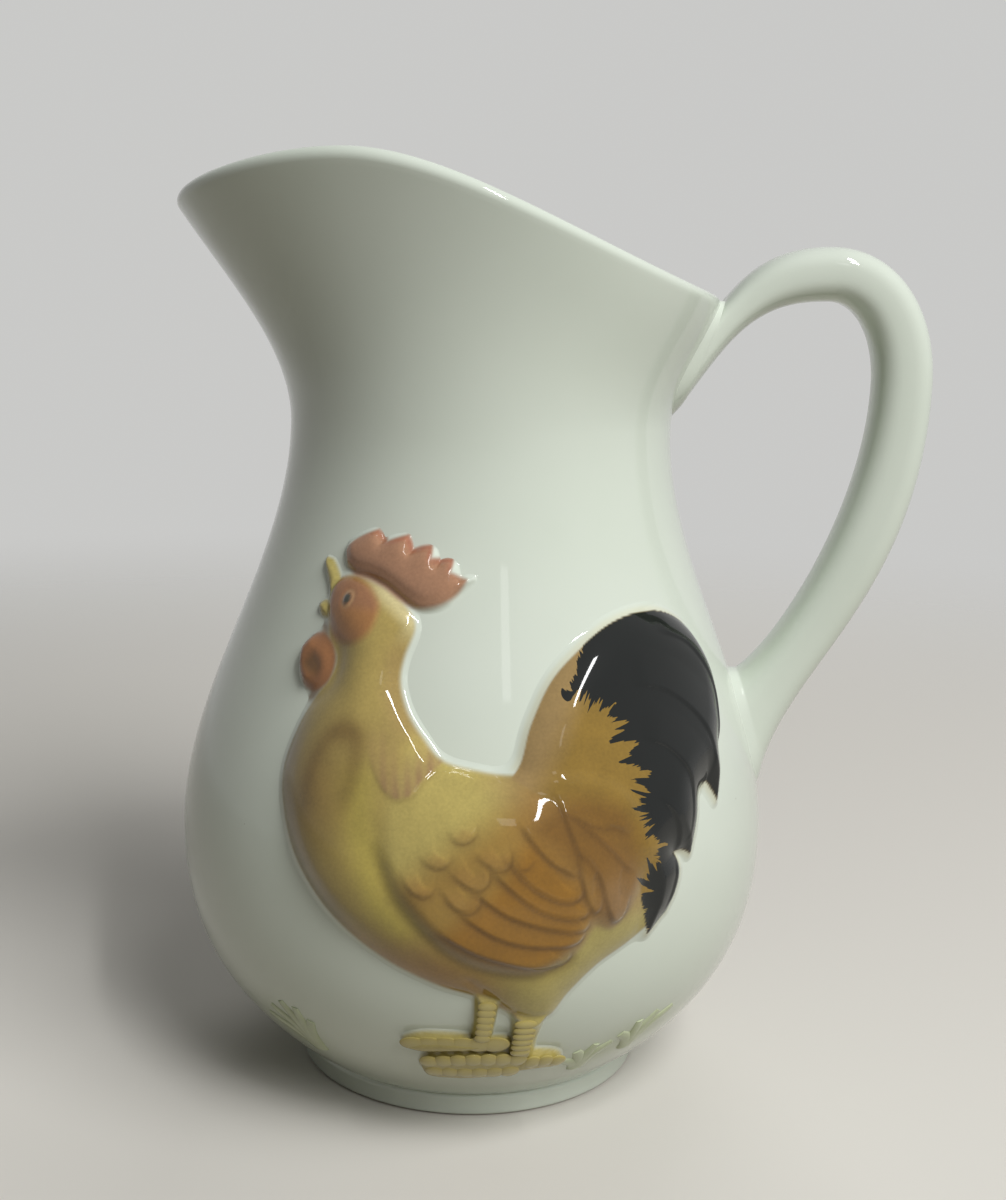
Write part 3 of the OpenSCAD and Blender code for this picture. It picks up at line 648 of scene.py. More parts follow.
# Brushed marks on the neck, a band of painted highlight on the breast, and the line between the wing's olive
# and its ochre
NECK_MARK = [(-31, 58), (-32.4, 66), (-31.4, 74), (-28.6, 79.4), (-25, 81), (-21.8, 79), (-21.4, 73),
             (-22.4, 66), (-24.5, 58)]
HIGHLIGHT_BAND = [(-20, 70), (-19.1, 63.8), (-16.7, 57), (-13.7, 49.3), (-9.2, 41.6)]
OCHRE_LINE = [(-15, 44.5), (-6, 51), (12, 64), (21, 70.5)]
BARB_PITCH = 2.6

# Feathers: how wide each kind is, how an edge fades at its root and its tip and slopes down to the next one,
# and the dark line that gathers below it, and the wider painted shade under the overlapping feather
FLIGHT_W = 5.5
COVERT_W = 6.5
SADDLE_W = 7.0
TAIL_W = 9.0
CAPE_W = 11.0
ROOT_FADE = 6.0
TIP_FADE = 4.5
EDGE_LOW = -0.25
EDGE_HIGH = 0.7
SEAM_STAIN = 0.75
SEAM_W = 0.45
PAINTED_SHADE_AMOUNT = 0.3
SHADE_REACH = 3.0
SHADE_START = 0.3

grid_x = np.arange(GRID_X[0], GRID_X[1], GRID_STEP)
grid_y = np.arange(GRID_Y[0], GRID_Y[1], GRID_STEP)
X, Y = np.meshgrid(grid_x, grid_y)


def segments_of(line, closed):
    ends = np.roll(line, -1, axis=0) if closed else line[1:]
    return zip(line if closed else line[:-1], ends)


def gap_to(line, closed=False):
    """Distance of each grid point from a line, in mm: negative on its right. Also how far along the line its
    nearest point is, from 0 at its start."""
    best = np.full(X.shape, np.inf)
    place = np.zeros(X.shape)
    side = np.ones(X.shape)
    done = 0.0
    for (ax, ay), (bx, by) in segments_of(line, closed):
        ex, ey = bx - ax, by - ay
        length = math.hypot(ex, ey)
        if length == 0:
            continue
        t = np.clip(((X - ax) * ex + (Y - ay) * ey) / length ** 2, 0, 1)
        gap = np.hypot(X - ax - t * ex, Y - ay - t * ey)
        nearer = gap < best
        best = np.where(nearer, gap, best)
        place = np.where(nearer, done + t * length, place)
        side = np.where(nearer, np.where(ex * (Y - ay) < ey * (X - ax), -1, 1), side)
        done += length
    return best * side, place


def gap_from(points):
    """Distance of each grid point from the smooth line through the points, on either side of it."""
    return np.abs(gap_to(curve(points))[0])


def depth(outline):
    """How far inside an outline each grid point lies, in mm: negative outside it."""
    parts = [curve(part) if len(part) > 2 else np.array(part, float) for part in outline]
    line = np.concatenate([part[:-1] for part in parts])
    inside = np.zeros(X.shape, bool)
    for (ax, ay), (bx, by) in segments_of(line, True):
        if ay != by:
            inside ^= ((ay > Y) != (by > Y)) & (X < ax + (Y - ay) * (bx - ax) / (by - ay))
    gap = np.abs(gap_to(line, closed=True)[0])
    return np.where(inside, gap, -gap)


def cushion(inside, rise, width):
    """A round-edged cushion of clay, as high as rise from width inside its edge. Outside, it goes on down."""
    t = np.clip(inside / width, 0, 1)
    return np.where(inside > 0, rise * (1 - (1 - t) ** 2), inside * 2 * rise / width)


def softened(field, reach):
    """The field, blurred over the given reach in mm."""
    steps = np.arange(-3 * reach, 3 * reach + GRID_STEP, GRID_STEP)
    weights = bell(steps, math.sqrt(2) * reach)
    weights /= weights.sum()
    half = len(weights) // 2
    for axis, margin in ((0, ((half, half), (0, 0))), (1, ((0, 0), (half, half)))):
        padded = np.pad(field, margin, mode="edge")
        field = np.apply_along_axis(np.convolve, axis, padded, weights, "valid")
    return field[:X.shape[0], :X.shape[1]]


def spot(x, y, width, height):
    """A soft round patch of the drawing, 1 in its middle."""
    return np.exp(-((X - x) / width) ** 2 - ((Y - y) / height) ** 2)


def joined(a, b, fillet):
    """The higher of two heights, with a fillet where they meet."""
    return np.maximum(a, b) + fillet / 4 * np.maximum(0, 1 - np.abs(a - b) / fillet) ** 2


def feathers(edges, width):
    """Height, from 0 to 1, of feathers that lie over their neighbours, and how dark their edges are: umber
    that gathers in the seam, and painted shade below it. Each is highest at its edge and goes down under the
    next one."""
    lift = np.zeros(X.shape)
    stain_and_shade = np.zeros(X.shape)
    for edge in edges:
        line = curve(edge)
        gap, place = gap_to(line)
        length = np.linalg.norm(np.diff(line, axis=0), axis=1).sum()
        fade = ramp(place, 0, ROOT_FADE) * ramp(length - place, 0, TIP_FADE)
        lift = np.maximum(lift, fade * ramp(gap, EDGE_LOW, EDGE_HIGH) * (1 - np.clip(gap / width, 0, 1)))
        seam = SEAM_STAIN * bell(gap - EDGE_LOW, SEAM_W)
        # Painted shade: darker on the feather below, under the overlapping edge
        shade = PAINTED_SHADE_AMOUNT * ramp(gap, -SHADE_REACH, -SHADE_START) * ramp(-gap, 0, SHADE_START)
        stain_and_shade = np.maximum(stain_and_shade, fade * (seam + shade))
    return lift, stain_and_shade


# How far each point of the drawing lies inside the outlines, or from the lines
trunk = depth(TRUNK)
head = depth([HEAD_TOP, HEAD_LOW])
comb = depth(COMB)
comb_brushed = depth(COMB_BRUSHED)
upper_beak = depth(UPPER_BEAK)
lower_beak = depth(LOWER_BEAK)
wattle = depth(WATTLE)
wattle_dent = depth(WATTLE_DENT)
face = depth(FACE)
tail = depth(TAIL)
wing = depth(WING)
flight_area = depth(FLIGHT_AREA)
saddle_area = depth(SADDLE_AREA)
wing_edge = gap_from(WING_EDGE)
thigh_crease = gap_from(THIGH_CREASE)
neck_mark = gap_from(NECK_MARK)
highlight_band = gap_from(HIGHLIGHT_BAND)
past_ochre = -gap_to(curve(OCHRE_LINE))[0]
flight_lift, flight_stain_and_shade = feathers(FLIGHT_EDGES, FLIGHT_W)
covert_lift, covert_stain_and_shade = feathers(COVERT_EDGES, COVERT_W)
saddle_lift, saddle_stain_and_shade = feathers(SADDLE_EDGES, SADDLE_W)
tail_lift, _ = feathers(TAIL_EDGES, TAIL_W)
cape_lift, cape_stain_and_shade = feathers([CAPE_EDGE], CAPE_W)
above_cape, _ = gap_to(curve(CAPE_EDGE))
near_leg = np.maximum.reduce([depth(NEAR_SHANK), depth(NEAR_FOOT), depth(REAR_TOE)])
far_leg = np.maximum(depth(FAR_SHANK), depth(FAR_FOOT))
beak = np.maximum(upper_beak, lower_beak)

# How high the rooster's forms rise, how far in their round edges run, how softly they are smoothed, and the
# fillets where they meet
TRUNK_RISE = 5.2
TRUNK_ROUND = 16
TRUNK_SOFT = 2.4
BREAST_SWELL = 1.8
TAIL_RISE = 4.4
TAIL_ROUND = 12
TAIL_FILLET = 2.5
WING_RISE = 1.2
COMB_RISE = 2.6
COMB_ROUND = 3.4
COMB_SOFT = 1.1
COMB_HALO = 0.45
WATTLE_RISE = 2.9
WATTLE_ROUND = 3.6
WATTLE_HALO = 0.36
WATTLE_FILLET = 1.6
THROAT_SOFT = 1.7
THROAT_SHARE = 0.95
BEAK_RISE = 1.6
BEAK_ROUND = 2.0
BEAK_HALO = 0.6
BEAK_FILLET = 0.8
LEG_RISE = 2.3
LEG_ROUND = 2.6
LEG_HALO = 0.4
FINE_FILLET = 1.0

# The low steps of feathers, face and eye on these forms, and the hollows in them
FLIGHT_STEP = 0.5
COVERT_STEP = 0.4
SADDLE_STEP = 0.5
TAIL_STEP = 0.4
CAPE_STEP = 0.22
FACE_STEP = 0.3
EYE_STEP = 0.4
EYE_R = 1.7
EYE_OVAL = 1.05
EYE_GROOVE = 0.12
EYE_GROOVE_R = 2.1
WING_HOLLOW = 0.55
THIGH_HOLLOW = 0.35
WATTLE_HOLLOW = 0.7

# The relief, form by form. The numbers in a ramp or a spot are places in the drawing, or depths inside an
# outline, between which a form comes in. A bell's number is the width of a groove.
trunk_rise = cushion(trunk + HALO, TRUNK_RISE, TRUNK_ROUND)
relief = mix(trunk_rise, softened(trunk_rise, TRUNK_SOFT), ramp(trunk, 1, 6))
relief += BREAST_SWELL * spot(-25, 56, 14, 22) * ramp(trunk, -1, 7)
relief = joined(relief, cushion(tail + TAIL_HALO, TAIL_RISE, TAIL_ROUND), TAIL_FILLET)
wing_fade = 7 * ramp(Y, 54, 66)
relief += WING_RISE * ramp(wing, -1.5 - wing_fade, 4 + wing_fade) * ramp(trunk, -1, 3)
relief -= WING_HOLLOW * bell(wing_edge, 2.2) * ramp(trunk, 0, 3) * ramp(66 - Y, 0, 14)
relief -= THIGH_HOLLOW * bell(thigh_crease, 1.3) * ramp(trunk, 0, 2)
relief += np.maximum.reduce([FLIGHT_STEP * flight_lift, COVERT_STEP * covert_lift, SADDLE_STEP * saddle_lift])
relief += TAIL_STEP * tail_lift * ramp(tail, -0.5, 1.5) + CAPE_STEP * cape_lift * ramp(trunk, -0.5, 2)
relief += FACE_STEP * ramp(face, -0.8, 1.2)
eye_gap = np.hypot((X - EYE[0]) * EYE_OVAL, Y - EYE[1])
relief += EYE_STEP * ramp(EYE_R - eye_gap, 0, 1.2) - EYE_GROOVE * bell(eye_gap - EYE_GROOVE_R, 0.6)
comb_rise = cushion(comb + COMB_HALO, COMB_RISE, COMB_ROUND)
relief = joined(relief, mix(comb_rise, softened(comb_rise, COMB_SOFT), ramp(comb, 0.4, 2)), FINE_FILLET)
relief = joined(relief, cushion(wattle + WATTLE_HALO, WATTLE_RISE, WATTLE_ROUND), WATTLE_FILLET)
# Between the wattle and the neck the clay is smoothed, so that no deep slot is left there
between = np.minimum(trunk, wattle)
throat = ramp(between, -3.2, -1.4)
smoothed = ramp(between, -5.5, -2.5) * ramp(5 - trunk, 0, 3)
relief = mix(relief, softened(relief, THROAT_SOFT), THROAT_SHARE * smoothed)
relief -= WATTLE_HOLLOW * ramp(wattle_dent, -1.2, 2.2)
for half in (upper_beak, lower_beak):
    relief = joined(relief, cushion(half + BEAK_HALO, BEAK_RISE, BEAK_ROUND), BEAK_FILLET)
for leg in (near_leg, far_leg):
    relief = joined(relief, cushion(leg + LEG_HALO, LEG_RISE, LEG_ROUND), FINE_FILLET)

paint_depth = np.maximum.reduce([trunk, head, comb, beak, wattle, tail, near_leg, far_leg])
foot_gap = np.minimum(0, np.maximum(paint_depth + HALO, tail + TAIL_HALO))
relief = joined(relief, FOOT_SLOPE * foot_gap, FOOT_FILLET)

# The rooster's colours, sprayed and brushed one over the other, with painted shade and a painted highlight
# among them
OLIVE = "#a38f4e"
OLIVE_DARK = "#6f5b1e"
OLIVE_LIGHT = "#b5a55c"
HIGHLIGHT_YELLOW_OLIVE = "#b0a04a"
BROWN = "#98703a"
UMBER = "#5c3f16"
OCHRE = "#8d631a"
BROWN_OCHRE = "#74511a"
TAN = "#9b8050"
GOLD = "#886b23"
STRAW = "#aa9c59"
CREAM = "#cfc493"
CORAL = "#a47a5d"
CORAL_DARK = "#a0604a"
ORANGE = "#8e5f38"
RUST = "#5f431f"
CHEEK = "#9a6b3c"
BROW = "#906547"
MAUVE = "#92744f"
EYE_DARK = "#3c3a30"

wall_colour = (linear(GLAZE_WHITE) + linear(GLAZE_POOLED)) / 2
colour = np.broadcast_to(wall_colour, (*X.shape, 3)).copy()


def spray(code, amount):
    """Lays a colour over what is there, as thickly as amount says."""
    share = np.clip(amount, 0, 1)[..., None]
    colour[:] = colour * (1 - share) + linear(code) * share


# Where the paint lies on each form
body_paint = ramp(trunk, -0.6, 1.0)
tail_paint = ramp(tail, -0.25, 0.3)
face_paint = ramp(face, -1.4, 1.4)
comb_paint = ramp(comb_brushed, -1.1, 0.3)
wattle_paint = ramp(wattle, -0.9, 0.3)
beak_paint = ramp(beak, -1.0, -0.2)
near_leg_paint = ramp(near_leg, -0.9, 0) * ramp(20 - Y, 0, 6)
far_leg_paint = ramp(far_leg, -0.9, 0) * ramp(27 - Y, 0, 4)
leg_paint = np.maximum(near_leg_paint, far_leg_paint)
covered = np.maximum.reduce([body_paint, tail_paint, comb_paint, throat, wattle_paint, beak_paint, leg_paint])

# Places on the body and the tail that are sprayed by themselves. The numbers are places in the drawing, or
# depths inside an outline, between which the spray comes in.
# Toward the spout the breast darkens at its edge: dark olive airbrush, and painted shade on the side away
# from the light
breast_edge = ramp(9 - trunk, 0, 8) * ramp(-X, 12, 28) * ramp(86 - Y, 0, 12)
belly = ramp(44 - Y, 0, 14) * ramp(-X, -22, 2)
back = ramp(X + 0.5 * (Y - 66), 6, 20)
wing_rear = ramp(past_ochre, -7, 3) * ramp(wing, 0, 3)
tail_rim = ramp(tail, -2, -0.4) * ramp(-trunk, 0, 2)
tail_heart = ramp(X - 0.62 * (Y - 74), 17, 27)
saddle_tips = ramp(saddle_area, -3, 1) * ramp(X + 0.2 * Y, 50, 56)
rump = ramp(47 - Y, 0, 8) * ramp(X + 0.3 * Y, 17, 28) * ramp(-wing, -0.5, 1.5)
cape = ramp(above_cape, -0.4, 0.8) * ramp(9 - above_cape, 0, 9) * ramp(X, -22, -12) * ramp(95 - Y, 0, 12)
barbs = 0.8 + 0.2 * np.cos(2 * math.pi * (X + 0.2 * Y) / BARB_PITCH)
crown = ramp(5 - trunk, 0, 4) * ramp(X + 0.6 * Y, 33, 44) * ramp(Y, 98, 106)
nape = ramp(7 - trunk, 0, 5) * ramp(X, -26, -16) * ramp(104 - Y, 0, 8) * ramp(Y, 76, 84)
comb_points = ramp(1.8 - comb_brushed, 0, 1.6) * ramp(Y + 0.25 * X, 113, 118)

# The coats, from the first to the last, each with how thickly it lies
spray(OLIVE, body_paint)
# Dark olive on the breast's edge toward the spout: airbrush and painted shade
spray(OLIVE_DARK, 0.85 * body_paint * breast_edge)
# A painted highlight in yellow olive on the breast, just before the wing's crease
spray(HIGHLIGHT_YELLOW_OLIVE, 0.85 * body_paint * bell(highlight_band, 4.5))
spray(BROWN, 0.8 * body_paint * belly)
spray(OLIVE_LIGHT, 0.8 * body_paint * ramp(wing, 0, 4))
spray(TAN, 0.8 * body_paint * back)
spray(OCHRE, 0.7 * body_paint * wing_rear)
spray(BROWN, 0.3 * ramp(covert_lift, 0.1, 0.8))
spray(OCHRE, 0.95 * ramp(flight_area, -1, 5))
spray(CREAM, 0.3 * tail_rim)
spray(TAN, tail_paint)
spray(GOLD, 0.9 * tail_paint * tail_heart)
spray(BROWN_OCHRE, 0.85 * ramp(saddle_area, -1.5, 5))
spray(GOLD, 0.6 * saddle_tips)
spray(MAUVE, 0.6 * spot(36, 46, 4, 6))
spray(STRAW, body_paint * rump)
spray(MAUVE, 0.95 * body_paint * barbs * cape)
spray(BROWN_OCHRE, 0.5 * body_paint * spot(-30, 67, 9, 12))
spray(UMBER, 0.45 * body_paint * bell(neck_mark, 2.3) * ramp(Y, 56, 74))
spray(UMBER, 0.4 * body_paint * spot(-25, 79.5, 4, 2.6))
# Dark olive along the wing's crease: a brushed line, and painted shade in the crease
spray(OLIVE_DARK, 0.5 * body_paint * bell(wing_edge, 2.6) * ramp(60 - Y, 0, 14))
# Umber at the feather edges: stain in the seams, with painted shade below the overlapping feathers
spray(UMBER, 0.7 * flight_stain_and_shade)
spray(UMBER, 0.55 * np.maximum(covert_stain_and_shade, saddle_stain_and_shade))
spray(UMBER, 0.25 * cape_stain_and_shade * ramp(X, -18, -10))
spray(BROWN, 0.3 * body_paint * bell(thigh_crease, 1.6))
spray(CREAM, 0.8 * body_paint * crown)
spray(TAN, 0.5 * body_paint * nape)
spray(CHEEK, face_paint)
spray(BROW, 0.8 * face_paint * ramp(Y, 104.5, 108))
spray(CREAM, 0.14 * bell(eye_gap - 1.8, 0.45))
spray(EYE_DARK, ramp(1.5 - eye_gap, 0, 0.6))
spray(CORAL, comb_paint)
spray(CORAL_DARK, 0.7 * comb_paint * comb_points)
# Brown ochre in the smoothed crease between wattle and neck: paint over the clay there, darker as painted
# shade of the crease
spray(BROWN_OCHRE, 0.8 * throat * ramp(1 - trunk, 0, 1.6))
spray(ORANGE, wattle_paint)
spray(RUST, 0.8 * ramp(wattle_dent, -0.8, 2.0))
spray(STRAW, beak_paint)
spray(STRAW, leg_paint)

# The border between the tail's gold and its black
BLACK = [[(42, 106.2), (36.8, 101.1), (33, 96.2), (29.1, 89.9)],
         [(29.1, 89.9), (34, 88.2), (39, 85.2), (41, 80.7), (43, 75.7), (44.5, 71.2), (44, 66.2),
          (44.5, 62.2), (47, 57.7), (47.5, 53.2), (44, 49.7), (43.3, 44.5), (45.3, 37), (46.8, 34)],
         [(46.8, 34), (70, 28)],
         [(70, 28), (98, 60)],
         [(98, 60), (98, 112)],
         [(98, 112), (42, 118)],
         [(42, 118), (42, 106.2)]]
black_depth = depth(BLACK)
_, border_place = gap_to(np.concatenate([curve(BLACK[0]), curve(BLACK[1])[1:]]))
# The strokes are shorter, by this much, along the border's first stretch by the tail's upper edge
CLEAN_STRETCH = 21
CLEANER = 3.5
shorter = 1 + CLEANER * ramp(CLEAN_STRETCH - border_place, -1, 3)
border = np.stack([black_depth * shorter, border_place, ramp(tail, -0.25, 0.05)], axis=-1)

# The pieces that the relief is cut into. Each point goes to the piece whose outline it lies deepest in.
BREAST = [[(-43.8, 70.4), (-41.8, 62.5), (-36, 51.5), (-26, 40.5), (-14, 32.3), (-2, 26.8), (6.4, 24.2)],
          [(6.4, 24.2), (8.6, 31)],
          [(8.6, 31), (4.4, 33.2), (-3, 38.3), (-11.3, 49.3), (-15.1, 55.3), (-17.5, 61.5), (-13.8, 70.4)],
          [(-13.8, 70.4), (-43.8, 70.4)]]
HACKLE = [[(-33.6, 97), (-35, 91), (-39.5, 86), (-42.5, 79), (-43.8, 70.4)], [(-43.8, 70.4), (-13.8, 70.4)],
          [(-13.8, 70.4), (-7.4, 71.9), (-2.4, 76.6)],
          [(-2.4, 76.6), (-7.5, 81.2), (-12, 86.5), (-14.5, 92.5), (-13.4, 97)], [(-13.4, 97), (-33.6, 97)]]
THIGH = [[(8.6, 31), (7.4, 27.4), (13, 20.6), (19, 17.2), (24.5, 18), (28.5, 24), (35, 30.5), (45, 36.5)],
         [(45, 36.5), (44, 45)], [(44, 45), (35, 42), (28.4, 33), (17, 29.7), (8.6, 31)]]
SHOULDER = [[(-2.4, 76.6), (-7.4, 71.9), (-13.8, 69.4), (-17.5, 61.5), (-15.1, 55.3), (-11.3, 49.3),
             (-5, 41)],
            [(-5, 41), (14.6, 66.5)],
            [(14.6, 66.5), (14, 74.4)],
            [(14, 74.4), (6, 74.8), (-2.4, 76.6)]]
# How far the tail's and the legs' edges give way to the pieces beside them
TAIL_YIELD = 2.0
LEG_YIELD = 0.5

regions = {
    "rooster_head": (head, "olive_glaze_paint"),
    "rooster_comb": (comb, "coral_glaze_paint"),
    "rooster_beak": (beak, "straw_glaze_paint"),
    "rooster_wattle": (wattle, "orange_glaze_paint"),
    "rooster_hackle": (depth(HACKLE), "olive_glaze_paint"),
    "rooster_breast": (depth(BREAST), "olive_glaze_paint"),
    "rooster_wing_shoulder": (depth(SHOULDER), "olive_glaze_paint"),
    "rooster_flight_feathers": (flight_area, "ochre_glaze_paint"),
    "rooster_saddle_feathers": (saddle_area, "ochre_glaze_paint"),
    "rooster_tail_feathers": (tail - TAIL_YIELD, "black_glaze_paint"),
    "rooster_thigh": (depth(THIGH), "straw_glaze_paint"),
    "rooster_near_leg": (near_leg - LEG_YIELD, "straw_glaze_paint"),
    "rooster_far_leg": (far_leg - LEG_YIELD, "straw_glaze_paint"),
}
owner = np.argmax(np.stack([inside for inside, _ in regions.values()]), axis=0)
surface = on_belly(X, Y, relief)
under = on_belly(X, Y, np.minimum(BURIED, relief - LEAST_THICK))
slope_x = np.gradient(surface, axis=1)
slope_y = np.gradient(surface, axis=0)
facing = np.cross(slope_x, slope_y)
facing /= np.linalg.norm(facing, axis=-1, keepdims=True)
raised = relief > RAISED_FROM


def relief_piece(name, number, material):
    """One piece of the relief on both sides of the jug: its face, its back in the wall, and its sides."""
    kept = (owner == number) & raised
    cells = kept[:-1, :-1]
    used = np.zeros(X.shape, bool)
    for i in (0, 1):
        for j in (0, 1):
            used[i:used.shape[0] - 1 + i, j:used.shape[1] - 1 + j] |= cells
    count = int(used.sum())
    index = np.full(X.shape, -1)
    index[used] = np.arange(count)
    rows, columns = np.nonzero(cells)
    corners = np.stack([index[rows, columns], index[rows, columns + 1], index[rows + 1, columns + 1],
                        index[rows + 1, columns]], axis=-1)
    edges = np.concatenate([corners[:, [i, (i + 1) % 4]] for i in range(4)])
    key = edges[:, 0] * count + edges[:, 1]
    back = edges[:, 1] * count + edges[:, 0]
    rim = edges[~np.isin(key, back)]
    sides = np.stack([rim[:, 1], rim[:, 0], rim[:, 0] + count, rim[:, 1] + count], axis=-1)
    faces = np.concatenate([corners, corners[:, ::-1] + count, sides])
    points = np.concatenate([surface[used], under[used]])
    normals = np.concatenate([facing[used], -facing[used]])
    flip = np.array([1, -1, 1])
    all_points = np.concatenate([points, points * flip])
    all_faces = np.concatenate([faces, faces[:, ::-1] + len(points)])
    cast_name = name.replace("rooster", "cast")
    piece = make_piece(cast_name, all_points, all_faces.tolist(), material, [name])
    mesh = piece.data
    tint = np.concatenate([colour[used], covered[used][:, None]], axis=-1)
    edge = border[used]
    store(mesh, "paint", "FLOAT_COLOR", "color", np.tile(tint, (4, 1)))
    store(mesh, "border", "FLOAT_VECTOR", "vector", np.tile(edge, (4, 1)))
    mesh.normals_split_custom_set_from_vertices(np.concatenate([normals, normals * flip]).tolist())
    return piece


# Scales and grass are drawn as lines on the relief or the wall, and built along them by geometry nodes.
# A row of scales is its line, the scales' half width, half length and height, and their pitch.
SCALE_ROWS = {
    "rooster_near_leg": [([(18.8, 17.2), (18.6, 13), (18.4, 8.8)], 2.8, 1.3, 0.6, 1.8),
                         ([(18.2, 6.1), (7, 6.3), (-4.6, 5.2)], 2.6, 2.5, 0.66, 3.1),
                         ([(16.6, 2.4), (7, 2.2), (-3.4, 2.2)], 2.6, 2.5, 0.66, 3.1),
                         ([(22.4, 4.8), (26, 4.8), (29.4, 4.4)], 2.6, 2.2, 0.6, 2.6)],
    "rooster_far_leg": [([(9.5, 22.4), (9.2, 18), (8.7, 13.6)], 2.2, 1.4, 0.36, 1.9),
                        ([(12, 11.4), (0, 11.4), (-8, 10.9)], 2.6, 3.4, 0.4, 3.6)],
}
# A tuft of grass is the foot of its blades, and their tips.
TUFTS = [((-42, -1), [(-57, 5.5), (-53, 9.5), (-47.5, 12.5), (-42.5, 12), (-38.5, 9)]),
         ((40, -3), [(33, 0.5), (36.5, 3.5), (42, 5), (47.5, 4.5)]),
         ((55, 1), [(49, 6.5), (54, 9.5), (60, 11), (66, 10.5)])]
# A blade's half widths at its foot and its tip, the share of them that lies in the wall, how flat it is and
# where it bends. Then how far the scales lie in the relief, and how they narrow along a row.
BLADE_W = 2.6
BLADE_TIP_W = 1.1
BLADE_SINK = 0.06
BLADE_FLATNESS = 0.36
BLADE_BEND = (0.35, 0.55)
SCALE_SINK = 0.1
SCALE_TAPER = 0.85
LIMB_STEPS = 12

# Scale colours: darker on the sides as painted shade, lighter on top as painted highlight
SCALE_SHADE_SIDE = "#a4944f"
SCALE_HIGHLIGHT_TOP = "#b9ac6e"
GRASS_GREEN = "#a6ae88"
GRASS_PALE = "#c3ccae"


def height_at(x, y):
    """The relief's height at points of the drawing."""
    column = np.clip(np.round((x - GRID_X[0]) / GRID_STEP).astype(int), 0, X.shape[1] - 1)
    row = np.clip(np.round((y - GRID_Y[0]) / GRID_STEP).astype(int), 0, X.shape[0] - 1)
    return relief[row, column]


def limb_mesh(lines, sink, on_relief):
    """Lines on both sides of the jug, with their sizes and the wall's outward direction at each point. A line
    is its points, and pairs of sizes by name at its start and its end. Sink is the share of its half width
    that is buried."""
    points, edges, outward = [], [], []
    sizes = {name: [] for name in lines[0][1]}
    for line, line_sizes in lines:
        drawn = curve(line, LIMB_STEPS)
        x, y = drawn[:, 0], drawn[:, 1]
        ground = height_at(x, y).mean() if on_relief else 0.0
        lift = ground - sink * np.linspace(*line_sizes["half_width"], len(x))
        foot = on_belly(x, y, lift)
        lifted = on_belly(x, y, lift + 1)
        for side in (1, -1):
            flip = np.array([1, side, 1])
            edges += [(len(points) + i, len(points) + i + 1) for i in range(len(x) - 1)]
            points += (foot * flip).tolist()
            outward += ((lifted - foot) * flip).tolist()
            for name, (first, last) in line_sizes.items():
                sizes[name] += (np.linspace(first, last, len(x)) * MM).tolist()
    mesh = bpy.data.meshes.new("limb_lines")
    mesh.from_pydata((np.array(points) * MM).tolist(), edges, [])
    store(mesh, "outward", "FLOAT_VECTOR", "vector", outward)
    for name, values in sizes.items():
        store(mesh, name, "FLOAT", "value", values)
    return mesh


def lines_tree(name):
    """A geometry node tree that makes a piece of lines, and its inputs."""
    tree = bpy.data.node_groups.new(name, "GeometryNodeTree")
    for label, way, kind in (("Lines", "INPUT", "Geometry"), ("Material", "INPUT", "Material"),
                             ("Piece", "OUTPUT", "Geometry")):
        tree.interface.new_socket(name=label, in_out=way, socket_type="NodeSocket" + kind)
    return tree, node(tree, "NodeGroupInput").outputs


def end_tree(tree, geometry, material):
    """Makes a tree's geometry real, smooth and painted, and hands it out."""
    real = node(tree, "GeometryNodeRealizeInstances", {"Geometry": geometry})
    smooth_faces = node(tree, "GeometryNodeSetShadeSmooth", {"Geometry": real.outputs["Geometry"]})
    painted = node(tree, "GeometryNodeSetMaterial",
                   {"Geometry": smooth_faces.outputs["Geometry"], "Material": material})
    node(tree, "NodeGroupOutput", {"Piece": painted.outputs["Geometry"]})


